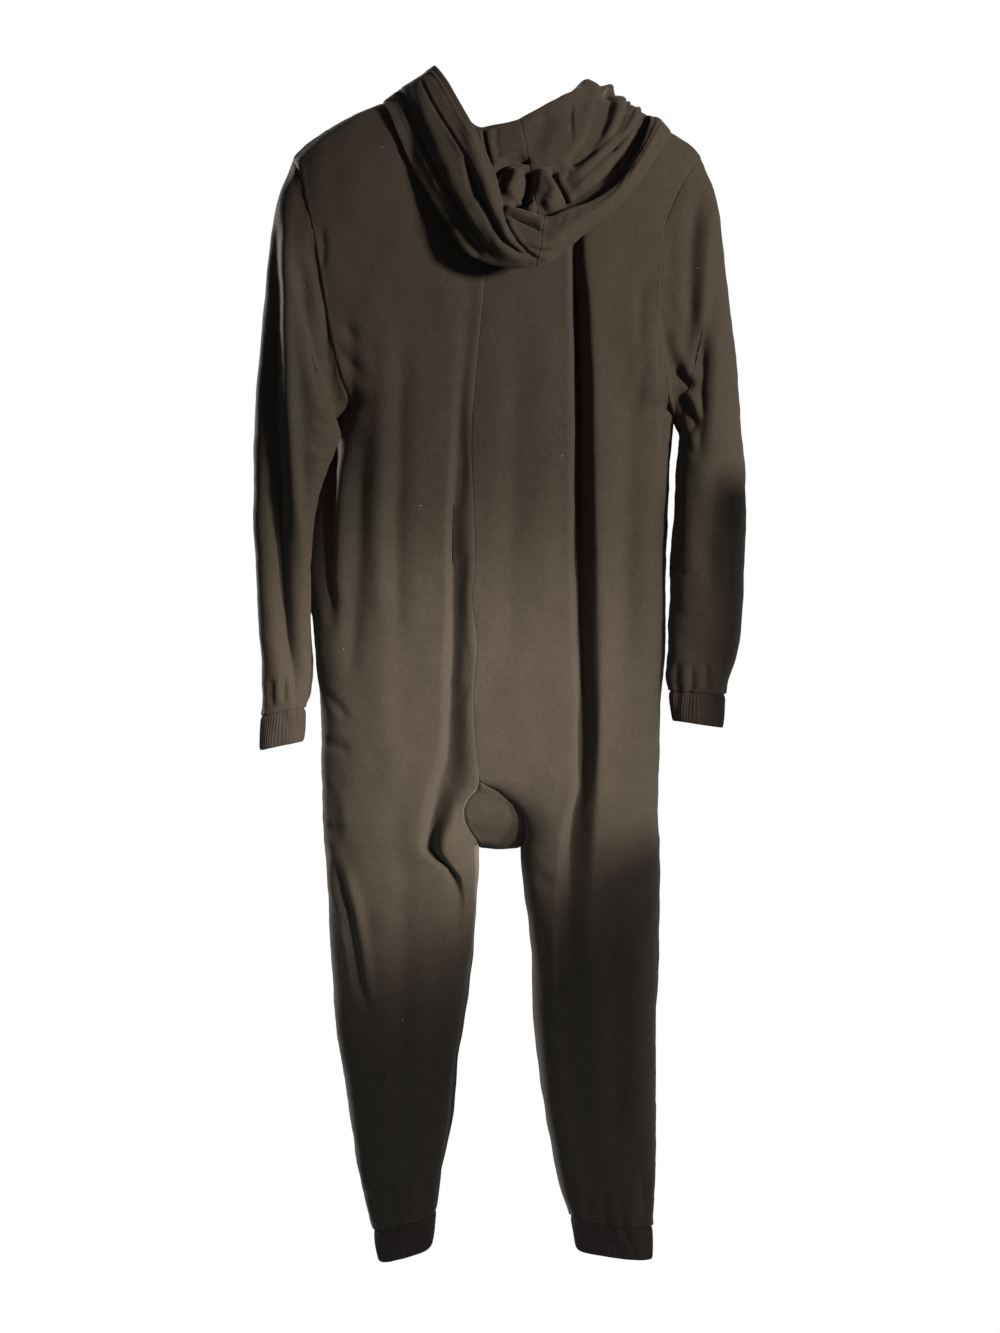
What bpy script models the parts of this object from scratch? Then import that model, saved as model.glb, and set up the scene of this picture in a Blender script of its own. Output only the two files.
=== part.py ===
"""Hooded one-piece pyjama in fleece, hanging filled out and empty from its neck.

Units: tables in millimetres, built in metres, +Z up. The front faces -Y and the back +Y, so the
wearer's left is +X. The origin lies level with the neck points, midway between them, where the
garment is held.

All the cloth is first laid out as one skin, whose points the pieces share along their seams. Each
piece is then cut out of the skin, trimmed back by half a seam and given its wall.
"""
import math

import bmesh
import bpy
import numpy as np
from mathutils import Vector

MM = 0.001

# Walls and seams.
CLOTH_WALL = 2.2
RIB_WALL = 3.2
SEAM_GAP = 0.3
GUSSET_GAP = 0.5
ARMHOLE_GAP = 0.4
HOOD_GAP = 1.2
WELD = 0.02

# The torso and legs as level sections. out and in are the outer and inner edges of each half in x:
# the inner edge is the centre back seam, then the gusset seam, then the inseam. edge is how much of
# the section's depth is left at the inner edge: 1 on the torso, 0 on a closed leg.
SECTION_COLUMNS = ("z", "left_out", "left_in", "right_in", "right_out", "back", "front", "edge")
SECTIONS = (
    (-366, 178, 25, 25, -194, 62, 60, 1),
    (-405, 181, 28, 28, -190, 63, 60, 1),
    (-460, 193, 31, 31, -187, 65, 61, 1),
    (-530, 203, 32, 32, -185, 66, 62, 1),
    (-600, 206, 32, 32, -184, 66, 62, 1),
    (-680, 200, 30, 30, -180, 64, 60, 1),
    (-735, 199, 26, 26, -177, 61, 59, 1),
    (-768, 198, 23, 23, -176, 60, 58, 1),
    (-779, 197, 27, 4, -176, 60, 58, 0.86),
    (-791, 197, 36, -11, -176, 60, 58, 0.76),
    (-803, 196, 41, -21, -176, 60, 58, 0.66),
    (-815, 196, 40, -27, -177, 60, 57, 0.55),
    (-827, 195, 34, -29, -177, 59, 57, 0.40),
    (-838, 195, 27, -26, -178, 59, 56, 0.22),
    (-846, 194, 24, -19, -178, 58, 56, 0),
    (-870, 193, 24, -26, -178, 57, 55, 0),
    (-905, 191, 26, -30, -178, 56, 54, 0),
    (-960, 188, 31, -35, -176, 54, 52, 0),
    (-1030, 183, 38, -38, -174, 51, 49, 0),
    (-1100, 174, 49, -45, -174, 46, 44, 0),
    (-1170, 163, 59, -56, -173, 40, 38, 0),
    (-1225, 152, 67, -67, -171, 33, 32, 0),
    (-1262, 146, 70, -76, -170, 29, 28, 0),
    (-1281, 142, 73, -80, -170, 28, 27, 0),
    (-1300, 135, 77, -88, -169, 27, 26, 0),
)
GUSSET_TOP = -768
GUSSET_SAG = 0.02
INSEAM_TOP = -846
ANKLE_SEAM = -1262
RING_POWER = 2.5

# Between these levels the section rounds off from half a torso to a whole leg, and the crotch seams
# pull the cloth in over this share of its width.
LEG_ROUNDING = (-600, -960)
SEAM_PULL = 0.35

# How far each leg end slopes down towards its outer side, and where the slope begins.
ANKLE_TILT = {"left": 0.30, "right": 0.13}
TILT_START = -1140

# The gusset's front seam, nearer the centre than the back one. z, left, right
FRONT_GUSSET_SEAM = (
    (-768, 0, 0),
    (-779, 12, -12),
    (-791, 20, -19),
    (-803, 25, -23),
    (-815, 27, -25),
    (-827, 28, -25),
    (-838, 26, -23),
    (-846, 24, -19),
)

# Fold lines that the columns of each panel follow, from the centre outwards. Each has its place in
# x and how far it stands out of the plain section (in is negative) at these levels.
LINE_LEVELS = (-60, -174, -250, -366, -530, -680, -768, -812, -856, -912, -1000, -1130, -1262)
FOLD_LINES = {
    "back_left": (
        ("crotch ridge", 2,
         (13, 20, 25, 33, 39, 38, 34, 52, 58, 44, 52, 66, 80),
         (0, 0, 0, 0, 0, 0, 0, 4, 5, 2, 0, 0, 0)),
        ("seam valley", 2,
         (26, 30, 34, 42, 48, 48, 60, 70, 72, 56, 72, 84, 92),
         (0, 0, -3, -9, -17, -20, -26, -30, -27, -14, -5, -2, 0)),
        ("valley edge", 2,
         (45, 50, 54, 59, 65, 68, 82, 86, 88, 72, 94, 100, 102),
         (0, 0, 1, 2, 3, 3, 3, 3, 3, 2, 1, 0, 0)),
        ("neck line", 1,
         (78, 84, 88, 92, 98, 104, 112, 118, 120, 114, 120, 118, 113),
         (0, 0, 0, 0, 0, 0, 0, 0, 0, 0, 0, 0, 0)),
    ),
    "back_right": (
        ("deep fold lip", 3,
         (-55, -66, -71, -74, -78, -81, -77, -69, -63, -60, -62, -72, -95),
         (0, 0, 1, 3, 4, 4, 4, 4, 3, 2, 1, 0, 0)),
        ("deep fold", 2,
         (-81, -83, -84, -86, -91, -93, -90, -84, -80, -80, -84, -90, -110),
         (0, -10, -34, -42, -45, -42, -36, -32, -28, -22, -15, -8, -2)),
        ("deep fold shoulder", 2,
         (-105, -104, -103, -103, -110, -113, -112, -108, -106, -104, -106, -112, -126),
         (0, 0, 0, 1, 1, 0, -1, -2, -2, -2, -1, 0, 0)),
        ("side valley", 1,
         (-140, -136, -134, -134, -137, -138, -136, -134, -134, -134, -134, -138, -146),
         (0, 0, -2, -5, -7, -6, -3, -1, 0, 0, 0, 0, 0)),
    ),
    "front_left": (
        ("front fold", 2,
         (40, 42, 44, 46, 52, 58, 66, 70, 74, 76, 80, 88, 94),
         (0, 0, 2, 6, 10, 13, 12, 9, 7, 8, 8, 5, 1)),
        ("neck line", 2,
         (78, 82, 86, 92, 100, 108, 114, 118, 122, 122, 122, 120, 114),
         (0, 0, 0, 0, -1, -2, -2, -1, 0, 0, 0, 0, 0)),
    ),
    "front_right": (
        ("front fold", 2,
         (-42, -46, -50, -56, -60, -62, -66, -70, -74, -76, -82, -92, -106),
         (0, 0, 3, 8, 12, 14, 12, 9, 8, 8, 7, 4, 1)),
        ("neck line", 2,
         (-81, -86, -92, -98, -106, -110, -112, -114, -118, -120, -122, -124, -130),
         (0, 0, 0, 0, 1, 2, 2, 1, 0, 0, 0, 0, 0)),
    ),
}
SIDE_COLUMNS = {"back_left": 6, "back_right": 4, "front_left": 6, "front_right": 7}

# Neck and shoulders.
NECK_POINT = {"left": (78, 0), "right": (-81, -2)}
BACK_NECK = (-72, 48)
FRONT_NECK = (-105, -58)
SHOULDER_LINE = {
    "left": ((78, 0), (129, -15), (180, -40), (215, -60), (233, -78)),
    "right": ((-81, -2), (-129, -17), (-187, -48), (-213, -60), (-226, -78)),
}
UNDERARM = -366
SHOULDER_ROUNDING = 95
YOKE_ROWS = (0, 0.06, 0.16, 0.31, 0.48, 0.66, 0.82, 0.94, 1)
YOKE_FULLNESS = 0.12

# Armhole seams. z, left x, right x, back y, front y
ARMHOLE = (
    (-78, 233, -226, 0, 0),
    (-92, 225, -214, 22, -20),
    (-129, 215, -193, 36, -34),
    (-162, 206, -181, 42, -39),
    (-243, 192, -176, 46, -42),
    (-285, 185, -178, 46, -42),
    (-331, 173, -184, 41, -38),
    (-350, 166, -188, 32, -30),
    (-366, 178, -194, 0, 0),
)

# Sleeves as rings from shoulder to wrist, each seen as its outer and inner edge. The last two rings
# end the cuff.
SLEEVE_COLUMNS = ("out_x", "out_z", "in_x", "in_z", "out_y", "in_y", "back", "front")
SLEEVES = {
    "left": (
        (246, -118, 184, -376, 2, 14, 40, 38),
        (255, -162, 177, -388, 4, 30, 38, 38),
        (261, -213, 182, -402, 6, 36, 36, 37),
        (265, -269, 189, -419, 8, 36, 34, 36),
        (270, -336, 197, -443, 10, 33, 33, 34),
        (273, -403, 205, -473, 10, 27, 32, 32),
        (273, -465, 210, -513, 10, 21, 31, 30),
        (271, -526, 212, -554, 10, 17, 30, 28),
        (268, -588, 212, -596, 11, 14, 28, 26),
        (265, -638, 210, -638, 12, 12, 26, 24),
        (264, -674, 212, -672, 12, 12, 23, 22),
        (266, -699, 219, -690, 12, 12, 21, 19),
        (266, -718, 219, -709, 12, 12, 20, 18),
        (266, -738, 220, -728, 12, 12, 19, 18),
    ),
    "right": (
        (-239, -116, -199, -380, 0, 2, 38, 36),
        (-246, -159, -201, -387, 0, 4, 37, 36),
        (-252, -207, -201, -395, 2, 6, 37, 36),
        (-258, -263, -200, -405, 4, 8, 37, 36),
        (-264, -330, -198, -423, 6, 10, 37, 35),
        (-269, -392, -196, -450, 8, 12, 36, 34),
        (-272, -459, -194, -484, 10, 14, 35, 33),
        (-271, -515, -192, -524, 12, 16, 33, 31),
        (-270, -571, -190, -571, 14, 18, 31, 28),
        (-263, -627, -188, -622, 15, 18, 27, 25),
        (-254, -660, -186, -653, 15, 17, 24, 22),
        (-251, -675, -187, -671, 15, 16, 21, 20),
        (-249, -690, -190, -692, 15, 16, 20, 19),
        (-246, -705, -194, -713, 15, 16, 19, 18),
    ),
}
WRIST_SEAM_RING = 11

# Lengthwise sleeve folds. The place is how far round the back from the outer edge (0) to the inner
# edge (1); the rows count rings from the shoulder.
SLEEVE_FOLDS = {
    "left": ((0.33, 1, 10, 13),),
    "right": ((0.56, 0, 6, 13),),
}

# The hood, dropped behind the neck. Its four guide lines run from the left front to the right front
# past the back; the rows are the stations. x, z, y of each line.
HOOD_STATIONS = (
    # stand top        inside bottom      outer fold          face hem
    ((6, -84, -57), (10, -100, -67), (14, -120, -72), (11, -98, -80)),
    ((56, -33, -43), (84, -72, -52), (98, -90, -63), (74, -34, -64)),
    ((79, 12, 0), (106, -1, 0), (129, -8, 2), (75, 22, 4)),
    ((58, -13, 36), (84, -86, 68), (97, -98, 78), (33, -61, 80)),
    ((18, -50, 52), (38, -150, 82), (43, -180, 94), (0, -144, 108)),
    ((-18, -45, 55), (-42, -172, 88), (-47, -213, 104), (-45, -190, 120)),
    ((-46, -33, 50), (-100, -138, 82), (-114, -160, 92), (-96, -144, 110)),
    ((-76, -13, 30), (-144, -88, 64), (-162, -100, 72), (-142, -88, 84)),
    ((-84, 12, 0), (-158, -23, 0), (-187, -42, 2), (-166, -20, 6)),
    ((-57, -32, -43), (-104, -76, -56), (-122, -92, -64), (-100, -60, -74)),
    ((-6, -84, -57), (-10, -100, -67), (-14, -120, -72), (-11, -98, -80)),
)
# Folds across the hood: where they lie between two guide lines, how far they stand out, and the
# station at which they are deepest. Stations count from 0 to 10.
HOOD_FOLDS = (
    ("stand top", 0.40, -5, 7.0),
    ("stand top", 0.70, 9, 7.2),
    ("outer fold", 0.28, 6, 2.9),
    ("outer fold", 0.55, 9, 3.6),
    ("outer fold", 0.80, -4, 3.6),
)
HOOD_FOLD_REACH = 1.9
# How far each guide line keeps from the back or front below it.
HOOD_CLEARANCE = (8, 9, 14, 20)
STAND_FOLD = 4
HOOD_STEPS = {"neck": 1, "stand top": 4, "inside bottom": 2, "outer fold": 3}

# Front zip.
ZIP_HALF_OPENING = 5
ZIP_BOTTOM = -700
TAPE_INNER = 3.1
TAPE_WIDTH = 11
TAPE_WALL = 1.0
CHAIN_WIDTH = 5.4
CHAIN_WALL = 2.4
TAPE_BEHIND = 3.0
ZIP_STEPS = 13

# Slider and pull tab, at the top of the zip.
SLIDER_TOP = -116
SLIDER_LENGTH = 12
SLIDER_WIDTH = 8.6
PLATE = 1.2
BRIDGE_WIDTH = 2.0
BRIDGE_LENGTH = 8
BRIDGE_REACH = 4.4
BRIDGE_BAR = 1.0
TAB_LENGTH = 30
TAB_WIDTH = 7
TAB_WALL = 1.4
TAB_BAR = 1.3
CLEARANCE = 0.35

MATERIALS = {
    "fleece": ((0.060, 0.046, 0.037, 1), 0.95, 0.0),
    "rib": ((0.052, 0.040, 0.033, 1), 0.95, 0.0),
    "zip_tape": ((0.035, 0.028, 0.024, 1), 0.9, 0.0),
    "zip_teeth": ((0.03, 0.025, 0.022, 1), 0.45, 0.0),
    "zip_metal": ((0.10, 0.09, 0.085, 1), 0.35, 1.0),
}


def clear_scene():
    for old in list(bpy.data.objects):
        bpy.data.objects.remove(old, do_unlink=True)


def make_materials():
    made = {}
    for name, (colour, roughness, metallic) in MATERIALS.items():
        material = bpy.data.materials.new(name)
        material.use_nodes = True
        shader = material.node_tree.nodes["Principled BSDF"]
        shader.inputs["Base Color"].default_value = colour
        shader.inputs["Roughness"].default_value = roughness
        shader.inputs["Metallic"].default_value = metallic
        made[name] = material
    return made


def read_table(table, levels, column):
    """A column of a table at one level, read along straight lines between its rows."""
    order = np.argsort(levels)
    return float(np.interp(column, np.array(levels)[order], np.array(table)[order]))


def section(z):
    levels = [row[0] for row in SECTIONS]
    return {name: read_table([row[i] for row in SECTIONS], levels, z)
            for i, name in enumerate(SECTION_COLUMNS)}


def ring_depth(sigma):
    """Depth of a round section, as a share, at sigma from 0 (middle) to 1 (edge)."""
    return max(0.0, 1 - min(1.0, abs(sigma)) ** RING_POWER) ** (1 / RING_POWER)


def smooth(share):
    share = min(1.0, max(0.0, share))
    return share * share * (3 - 2 * share)


def section_depth(share, z, edge):
    """Depth as a share of the whole, from the inner edge (0) to the side seam (1)."""
    start, end = LEG_ROUNDING
    halves = 1 + smooth((start - z) / (start - end))
    side = ring_depth(max(0.0, 1 - (1 - share) * halves))
    inner = ring_depth(max(0.0, 1 - share / SEAM_PULL))
    return side * (edge + (1 - edge) * inner)


def column_lines(panel, z, inner, outer):
    """The x of every column of a panel at level z, with how far each stands out of the section."""
    places = [inner]
    reliefs = [0.0]
    level = max(min(z, LINE_LEVELS[0]), LINE_LEVELS[-1])
    for _, count, xs, outs in FOLD_LINES[panel]:
        x = read_table(xs, LINE_LEVELS, level)
        out = read_table(outs, LINE_LEVELS, level)
        start, start_out = places[-1], reliefs[-1]
        for i in range(1, count + 1):
            share = i / count
            places.append(start + (x - start) * share)
            reliefs.append(start_out + (out - start_out) * share)
    start, start_out = places[-1], reliefs[-1]
    count = SIDE_COLUMNS[panel]
    for i in range(1, count + 1):
        share = 1 - (1 - i / count) ** 1.5
        places.append(start + (outer - start) * share)
        reliefs.append(start_out * (1 - share))
    return places, reliefs


def neck_column(panel):
    """The column that ends at the neck point."""
    count = 0
    for name, steps, _, _ in FOLD_LINES[panel]:
        count += steps
        if name in ("neck line", "deep fold"):
            return count


def front_edge(side, z):
    """The front panel's inner edge: the zip opening, the centre seam, then the gusset seam."""
    sign = 1 if side == "left" else -1
    if z >= ZIP_BOTTOM:
        return sign * ZIP_HALF_OPENING
    if z >= GUSSET_TOP:
        return 0.0
    column = 1 if side == "left" else 2
    levels = [row[0] for row in FRONT_GUSSET_SEAM]
    return read_table([row[column] for row in FRONT_GUSSET_SEAM], levels, z)


def lower_row(panel, z):
    """One level row of a panel, from its inner edge to its side seam."""
    face, side = panel.split("_")
    here = section(z)
    inner, outer = here[side + "_in"], here[side + "_out"]
    if face == "front" and z >= INSEAM_TOP:
        inner = front_edge(side, z)
    depth = here[face]
    toward = 1 if face == "back" else -1
    places, reliefs = column_lines(panel, z, inner, outer)
    tilt = ANKLE_TILT[side] * min(1, max(0, (TILT_START - z) / (TILT_START - ANKLE_SEAM)))
    middle = (here[side + "_in"] + here[side + "_out"]) / 2
    row = []
    for x, relief in zip(places, reliefs):
        share = (x - inner) / (outer - inner)
        y = toward * (depth * section_depth(share, z, here["edge"]) + relief)
        row.append((x, y, z - tilt * (abs(x) - abs(middle))))
    row[-1] = (outer, 0.0, row[-1][2])
    if here["edge"] == 0:
        row[0] = (inner, 0.0, row[0][2])
    return row


def top_edge(panel):
    """The row along the neck and the shoulder, with a point for each column."""
    face, side = panel.split("_")
    sign = 1 if side == "left" else -1
    point_x, point_z = NECK_POINT[side]
    drop, depth = BACK_NECK if face == "back" else FRONT_NECK
    start = ZIP_HALF_OPENING if face == "front" else 0
    neck = neck_column(panel)
    count = len(column_lines(panel, LINE_LEVELS[0], 0, sign)[0])
    row = []
    for i in range(neck + 1):
        turn = math.asin(start / abs(point_x)) if i == 0 else 0
        angle = max(turn, i / neck * math.pi / 2)
        row.append((point_x * math.sin(angle), depth * math.cos(angle),
                    point_z + (drop - point_z) * math.cos(angle) ** 1.2))
    if face == "front":
        row[0] = (sign * start, row[0][1], row[0][2])
    line = SHOULDER_LINE[side]
    xs = [abs(p[0]) for p in line]
    zs = [p[1] for p in line]
    for i in range(neck + 1, count):
        share = (i - neck) / (count - 1 - neck)
        x = xs[0] + (xs[-1] - xs[0]) * share
        row.append((sign * x, 0.0, float(np.interp(x, xs, zs))))
    return row


def yoke_top(panel, x):
    """The y and z of the neck or shoulder line at one x."""
    face, side = panel.split("_")
    point_x, point_z = NECK_POINT[side]
    if abs(x) < abs(point_x):
        drop, depth = BACK_NECK if face == "back" else FRONT_NECK
        level = math.sqrt(1 - (x / point_x) ** 2)
        return depth * level, point_z + (drop - point_z) * level ** 1.2
    xs = [abs(p[0]) for p in SHOULDER_LINE[side]]
    return 0.0, float(np.interp(abs(x), xs, [p[1] for p in SHOULDER_LINE[side]]))


def yoke_depth(panel, x, z):
    """The signed depth of the plain cloth between the shoulder and the underarm."""
    face, side = panel.split("_")
    here = section(UNDERARM)
    start, top = yoke_top(panel, x)
    level = min(1.0, max(0.0, (top - z) / (top - UNDERARM)))
    width = abs(here[side + "_out"]) * (1 + YOKE_FULLNESS * min(1.0, 2 * (1 - level)))
    full = (1 if face == "back" else -1) * here[face] * ring_depth(x / width)
    rounding = min(1.0, max(0.0, (top - z) / SHOULDER_ROUNDING))
    return start + (full - start) * math.sqrt(1 - (1 - rounding) ** 2)


def yoke_rows(panel):
    """The rows from the neck and shoulder down to the underarm."""
    face, side = panel.split("_")
    top = top_edge(panel)
    bottom = lower_row(panel, UNDERARM)
    neck = neck_column(panel)
    levels = [row[0] for row in ARMHOLE]
    arm_x = [row[1 if side == "left" else 2] for row in ARMHOLE]
    arm_y = [row[3 if face == "back" else 4] for row in ARMHOLE]
    rows = [top]
    for v in YOKE_ROWS[1:-1]:
        edge_z = top[-1][2] + (UNDERARM - top[-1][2]) * v
        edge = (read_table(arm_x, levels, edge_z), read_table(arm_y, levels, edge_z), edge_z)
        base = top[neck][0] + (bottom[neck][0] - top[neck][0]) * v
        row = []
        for i, (start, end) in enumerate(zip(top, bottom)):
            z = start[2] + (UNDERARM - start[2]) * v
            x = start[0] + (end[0] - start[0]) * v
            if i > neck:
                spread = abs(start[0]) - abs(top[neck][0])
                even = spread / (abs(top[-1][0]) - abs(top[neck][0]))
                crowded = (end[0] - bottom[neck][0]) / (bottom[-1][0] - bottom[neck][0])
                x = base + (edge[0] - base) * (even + (crowded - even) * v)
            row.append([x, yoke_depth(panel, x, z) + fold_relief(panel, i, z), z])
        miss = edge[1] - row[-1][1]
        for i, p in enumerate(row):
            p[1] += miss * max(0.0, (i - neck) / (len(row) - 1 - neck)) ** 2
        row[-1] = list(edge)
        rows.append([tuple(p) for p in row])
    rows.append(bottom)
    return rows


def fold_relief(panel, column, z):
    toward = 1 if panel.startswith("back") else -1
    _, reliefs = column_lines(panel, z, 0, 1)
    return toward * reliefs[column]


class Skin:
    """The whole cloth as loose faces, each marked with its piece, welded into one skin."""

    def __init__(self):
        self.mesh = bmesh.new()
        self.piece = self.mesh.faces.layers.int.new("piece")
        self.names = []

    def add(self, name, rows, flip=False, closed=False):
        if name not in self.names:
            self.names.append(name)
        for upper, lower in zip(rows, rows[1:]):
            count = len(upper)
            for i in range(count if closed else count - 1):
                j = (i + 1) % count
                corners = [upper[i], lower[i], lower[j], upper[j]]
                self.face(name, corners[::-1] if flip else corners)

    def face(self, name, corners):
        loop = []
        for corner in corners:
            if not loop or math.dist(corner, loop[-1]) > WELD:
                loop.append(corner)
        if math.dist(loop[0], loop[-1]) <= WELD:
            loop.pop()
        if len(loop) < 3:
            return
        face = self.mesh.faces.new([self.mesh.verts.new(p) for p in loop])
        face[self.piece] = self.names.index(name)

    def weld(self):
        bmesh.ops.remove_doubles(self.mesh, verts=self.mesh.verts, dist=WELD)
        self.mesh.verts.index_update()
        self.mesh.normal_update()

    def faces_of(self, name):
        number = self.names.index(name)
        return [f for f in self.mesh.faces if f[self.piece] == number]


def trim(faces, amount):
    """Where each corner of a piece goes when its raw edges are trimmed back by amount."""
    inward = {}
    uses = {}
    for face in faces:
        for edge in face.edges:
            uses.setdefault(edge, []).append(face)
    for edge, users in uses.items():
        if len(users) > 1:
            continue
        face = users[0]
        a, b = edge.verts
        direction = face.normal.cross((b.co - a.co).normalized())
        if direction.dot(face.calc_center_median() - a.co) < 0:
            direction = -direction
        for v in (a, b):
            inward.setdefault(v, []).append(direction)
    places = {v: v.co.copy() for face in faces for v in face.verts}
    for v, directions in inward.items():
        mean = sum(directions, Vector()).normalized()
        reach = max(0.45, min(mean.dot(d) for d in directions))
        places[v] += mean * (amount / reach)
    return places


def new_object(name, points, faces, material):
    mesh = bpy.data.meshes.new(name)
    mesh.from_pydata([tuple(c * MM for c in p) for p in points], [], faces)
    mesh.validate()
    mesh.materials.append(material)
    made = bpy.data.objects.new(name, mesh)
    bpy.context.scene.collection.objects.link(made)
    return made


def cut_piece(skin, name, wall, material, gap):
    """Cut one piece out of the skin and give it its wall."""
    faces = skin.faces_of(name)
    places = trim(faces, gap / 2)
    order = {v: i for i, v in enumerate(places)}
    count = len(order)
    points = [places[v] + v.normal * (wall / 2) for v in order]
    points += [places[v] - v.normal * (wall / 2) for v in order]
    rank = [v.index for v in order]
    shell = []
    edges = set()
    for face in faces:
        loop = [order[v] for v in face.verts]
        shell.append(loop)
        shell.append([i + count for i in reversed(loop)])
        edges.update(zip(loop, loop[1:] + loop[:1]))
    for a, b in edges:
        if (b, a) in edges:
            continue
        # Both sides of a seam split their rim along the same diagonal, so that they stay parallel.
        if rank[a] < rank[b]:
            shell += [[b, a, b + count], [a, a + count, b + count]]
        else:
            shell += [[b, a, a + count], [b, a + count, b + count]]
    return new_object(name, points, shell, material)


def gusset_rows(rows):
    """Across the gusset, row by row, from the back seam's top under the crotch to the front's."""
    levels = [row[0] for row in SECTIONS if INSEAM_TOP <= row[0] <= GUSSET_TOP]
    back = [(rows["back_left"][z][0], rows["back_right"][z][0]) for z in levels]
    front = [(rows["front_left"][z][0], rows["front_right"][z][0]) for z in levels]
    across = []
    for left, right in back + front[-2::-1]:
        left, right = Vector(left), Vector(right)
        width = (left - right).length
        sag = Vector((0, 0, -GUSSET_SAG * width))
        line = []
        for i in range(5):
            share = i / 4
            bow = 4 * share * (1 - share)
            line.append(tuple(left.lerp(right, share) + sag * bow))
        across.append(line)
    return across


def sleeve_rings(side, yokes):
    """The sleeve's rings: the armhole seam first, then each row of the table."""
    back = [row[-1] for row in yokes["back_" + side]]
    front = [row[-1] for row in yokes["front_" + side]]
    steps = len(back) - 1
    rings = [back + front[-2:0:-1]]
    for number, row in enumerate(SLEEVES[side]):
        here = dict(zip(SLEEVE_COLUMNS, row))
        outer = Vector((here["out_x"], here["out_y"], here["out_z"]))
        inner = Vector((here["in_x"], here["in_y"], here["in_z"]))
        ring = []
        for i in range(2 * steps):
            angle = math.pi * i / steps
            along = math.cos(angle)
            swell = abs(math.sin(angle)) ** 0.85
            depth = here["back"] * swell if i <= steps else -here["front"] * swell
            for place, first, last, deep in SLEEVE_FOLDS[side]:
                if i <= steps and first <= number <= last:
                    near = max(0.0, 1 - abs(i / steps - place) * steps)
                    fade = min(1.0, (number - first + 1) / 2, (last - number + 1) / 2)
                    depth -= deep * near * fade
            p = inner.lerp(outer, (1 + along) / 2)
            ring.append((p.x, p.y + depth, p.z))
        rings.append(ring)
    return rings


def through(points, shares):
    """Points along a smooth curve through the given ones, at shares from 0 to 1 of their count."""
    places = []
    last = len(points) - 1
    for share in shares:
        at = share * last
        i = min(int(at), last - 1)
        t = at - i
        p = [Vector(points[max(0, min(last, i + k))]) for k in (-1, 0, 1, 2)]
        places.append(0.5 * (2 * p[1] + (p[2] - p[0]) * t
                             + (2 * p[0] - 5 * p[1] + 4 * p[2] - p[3]) * t ** 2
                             + (3 * p[1] - p[0] - 3 * p[2] + p[3]) * t ** 3))
    return places


def keep_off_body(p, clearance):
    """Move a point of the hood out of the body, straight back or straight forward."""
    side = "left" if p.x > 0 else "right"
    face = "back" if p.y >= 0 else "front"
    panel = face + "_" + side
    if p.z > yoke_top(panel, p.x)[1] + 1:
        return p
    surface = abs(yoke_depth(panel, p.x, p.z)) + clearance
    return Vector((p.x, math.copysign(max(abs(p.y), surface), p.y), p.z))


def hood_profile(neck, guides, station):
    """From the neck seam over the stand, down inside, out to the fold and up to the hem."""
    names = list(HOOD_STEPS)
    corners = [Vector(neck)] + guides
    profile = [corners[0]]
    for k, name in enumerate(names):
        start, end = corners[k], corners[k + 1]
        if name == "stand top":
            outer = Vector((start.x, start.y, 0)).normalized() * STAND_FOLD
            start = keep_off_body(start + outer, HOOD_CLEARANCE[0])
            profile.append(start)
        along = (end - start).normalized()
        outward = Vector((end.x, end.y, 0)).normalized()
        outward = (outward - along * outward.dot(along)).normalized()
        for i in range(1, HOOD_STEPS[name] + 1):
            share = i / HOOD_STEPS[name]
            p = start.lerp(end, share)
            for line, place, out, centre in HOOD_FOLDS:
                if line != name:
                    continue
                nearness = max(0.0, 1 - abs(share - place) * HOOD_STEPS[name])
                reach = max(0.0, 1 - ((station - centre) / HOOD_FOLD_REACH) ** 2)
                p = p + outward * (out * nearness * reach)
            profile.append(keep_off_body(p, HOOD_CLEARANCE[0]))
    return [tuple(p) for p in profile]


def hood_rows(tops):
    """Profiles of the hood at each point of the neck seam, from the left front to the right."""
    necks = {}
    for panel in tops:
        necks[panel] = tops[panel][:neck_column(panel) + 1]
    seam = (necks["front_left"] + necks["back_left"][-2::-1]
            + necks["back_right"][1:] + necks["front_right"][-2::-1])
    marks = (0, 2, 5, 8)
    counts = [len(necks[p]) - 1 for p in ("front_left", "back_left", "back_right", "front_right")]
    corners = np.cumsum([0] + counts)
    stations = np.interp(range(len(seam)), corners, (0, marks[1], marks[2], marks[3], 10))
    lines = [through([row[k] for row in HOOD_STATIONS], stations / 10) for k in range(4)]
    for line, clearance in zip(lines, HOOD_CLEARANCE):
        for i, (x, z, y) in enumerate(line):
            line[i] = keep_off_body(Vector((x, y, z)), clearance)
    return [hood_profile(neck, [line[i] for line in lines], stations[i])
            for i, neck in enumerate(seam)], int(corners[2])


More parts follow.
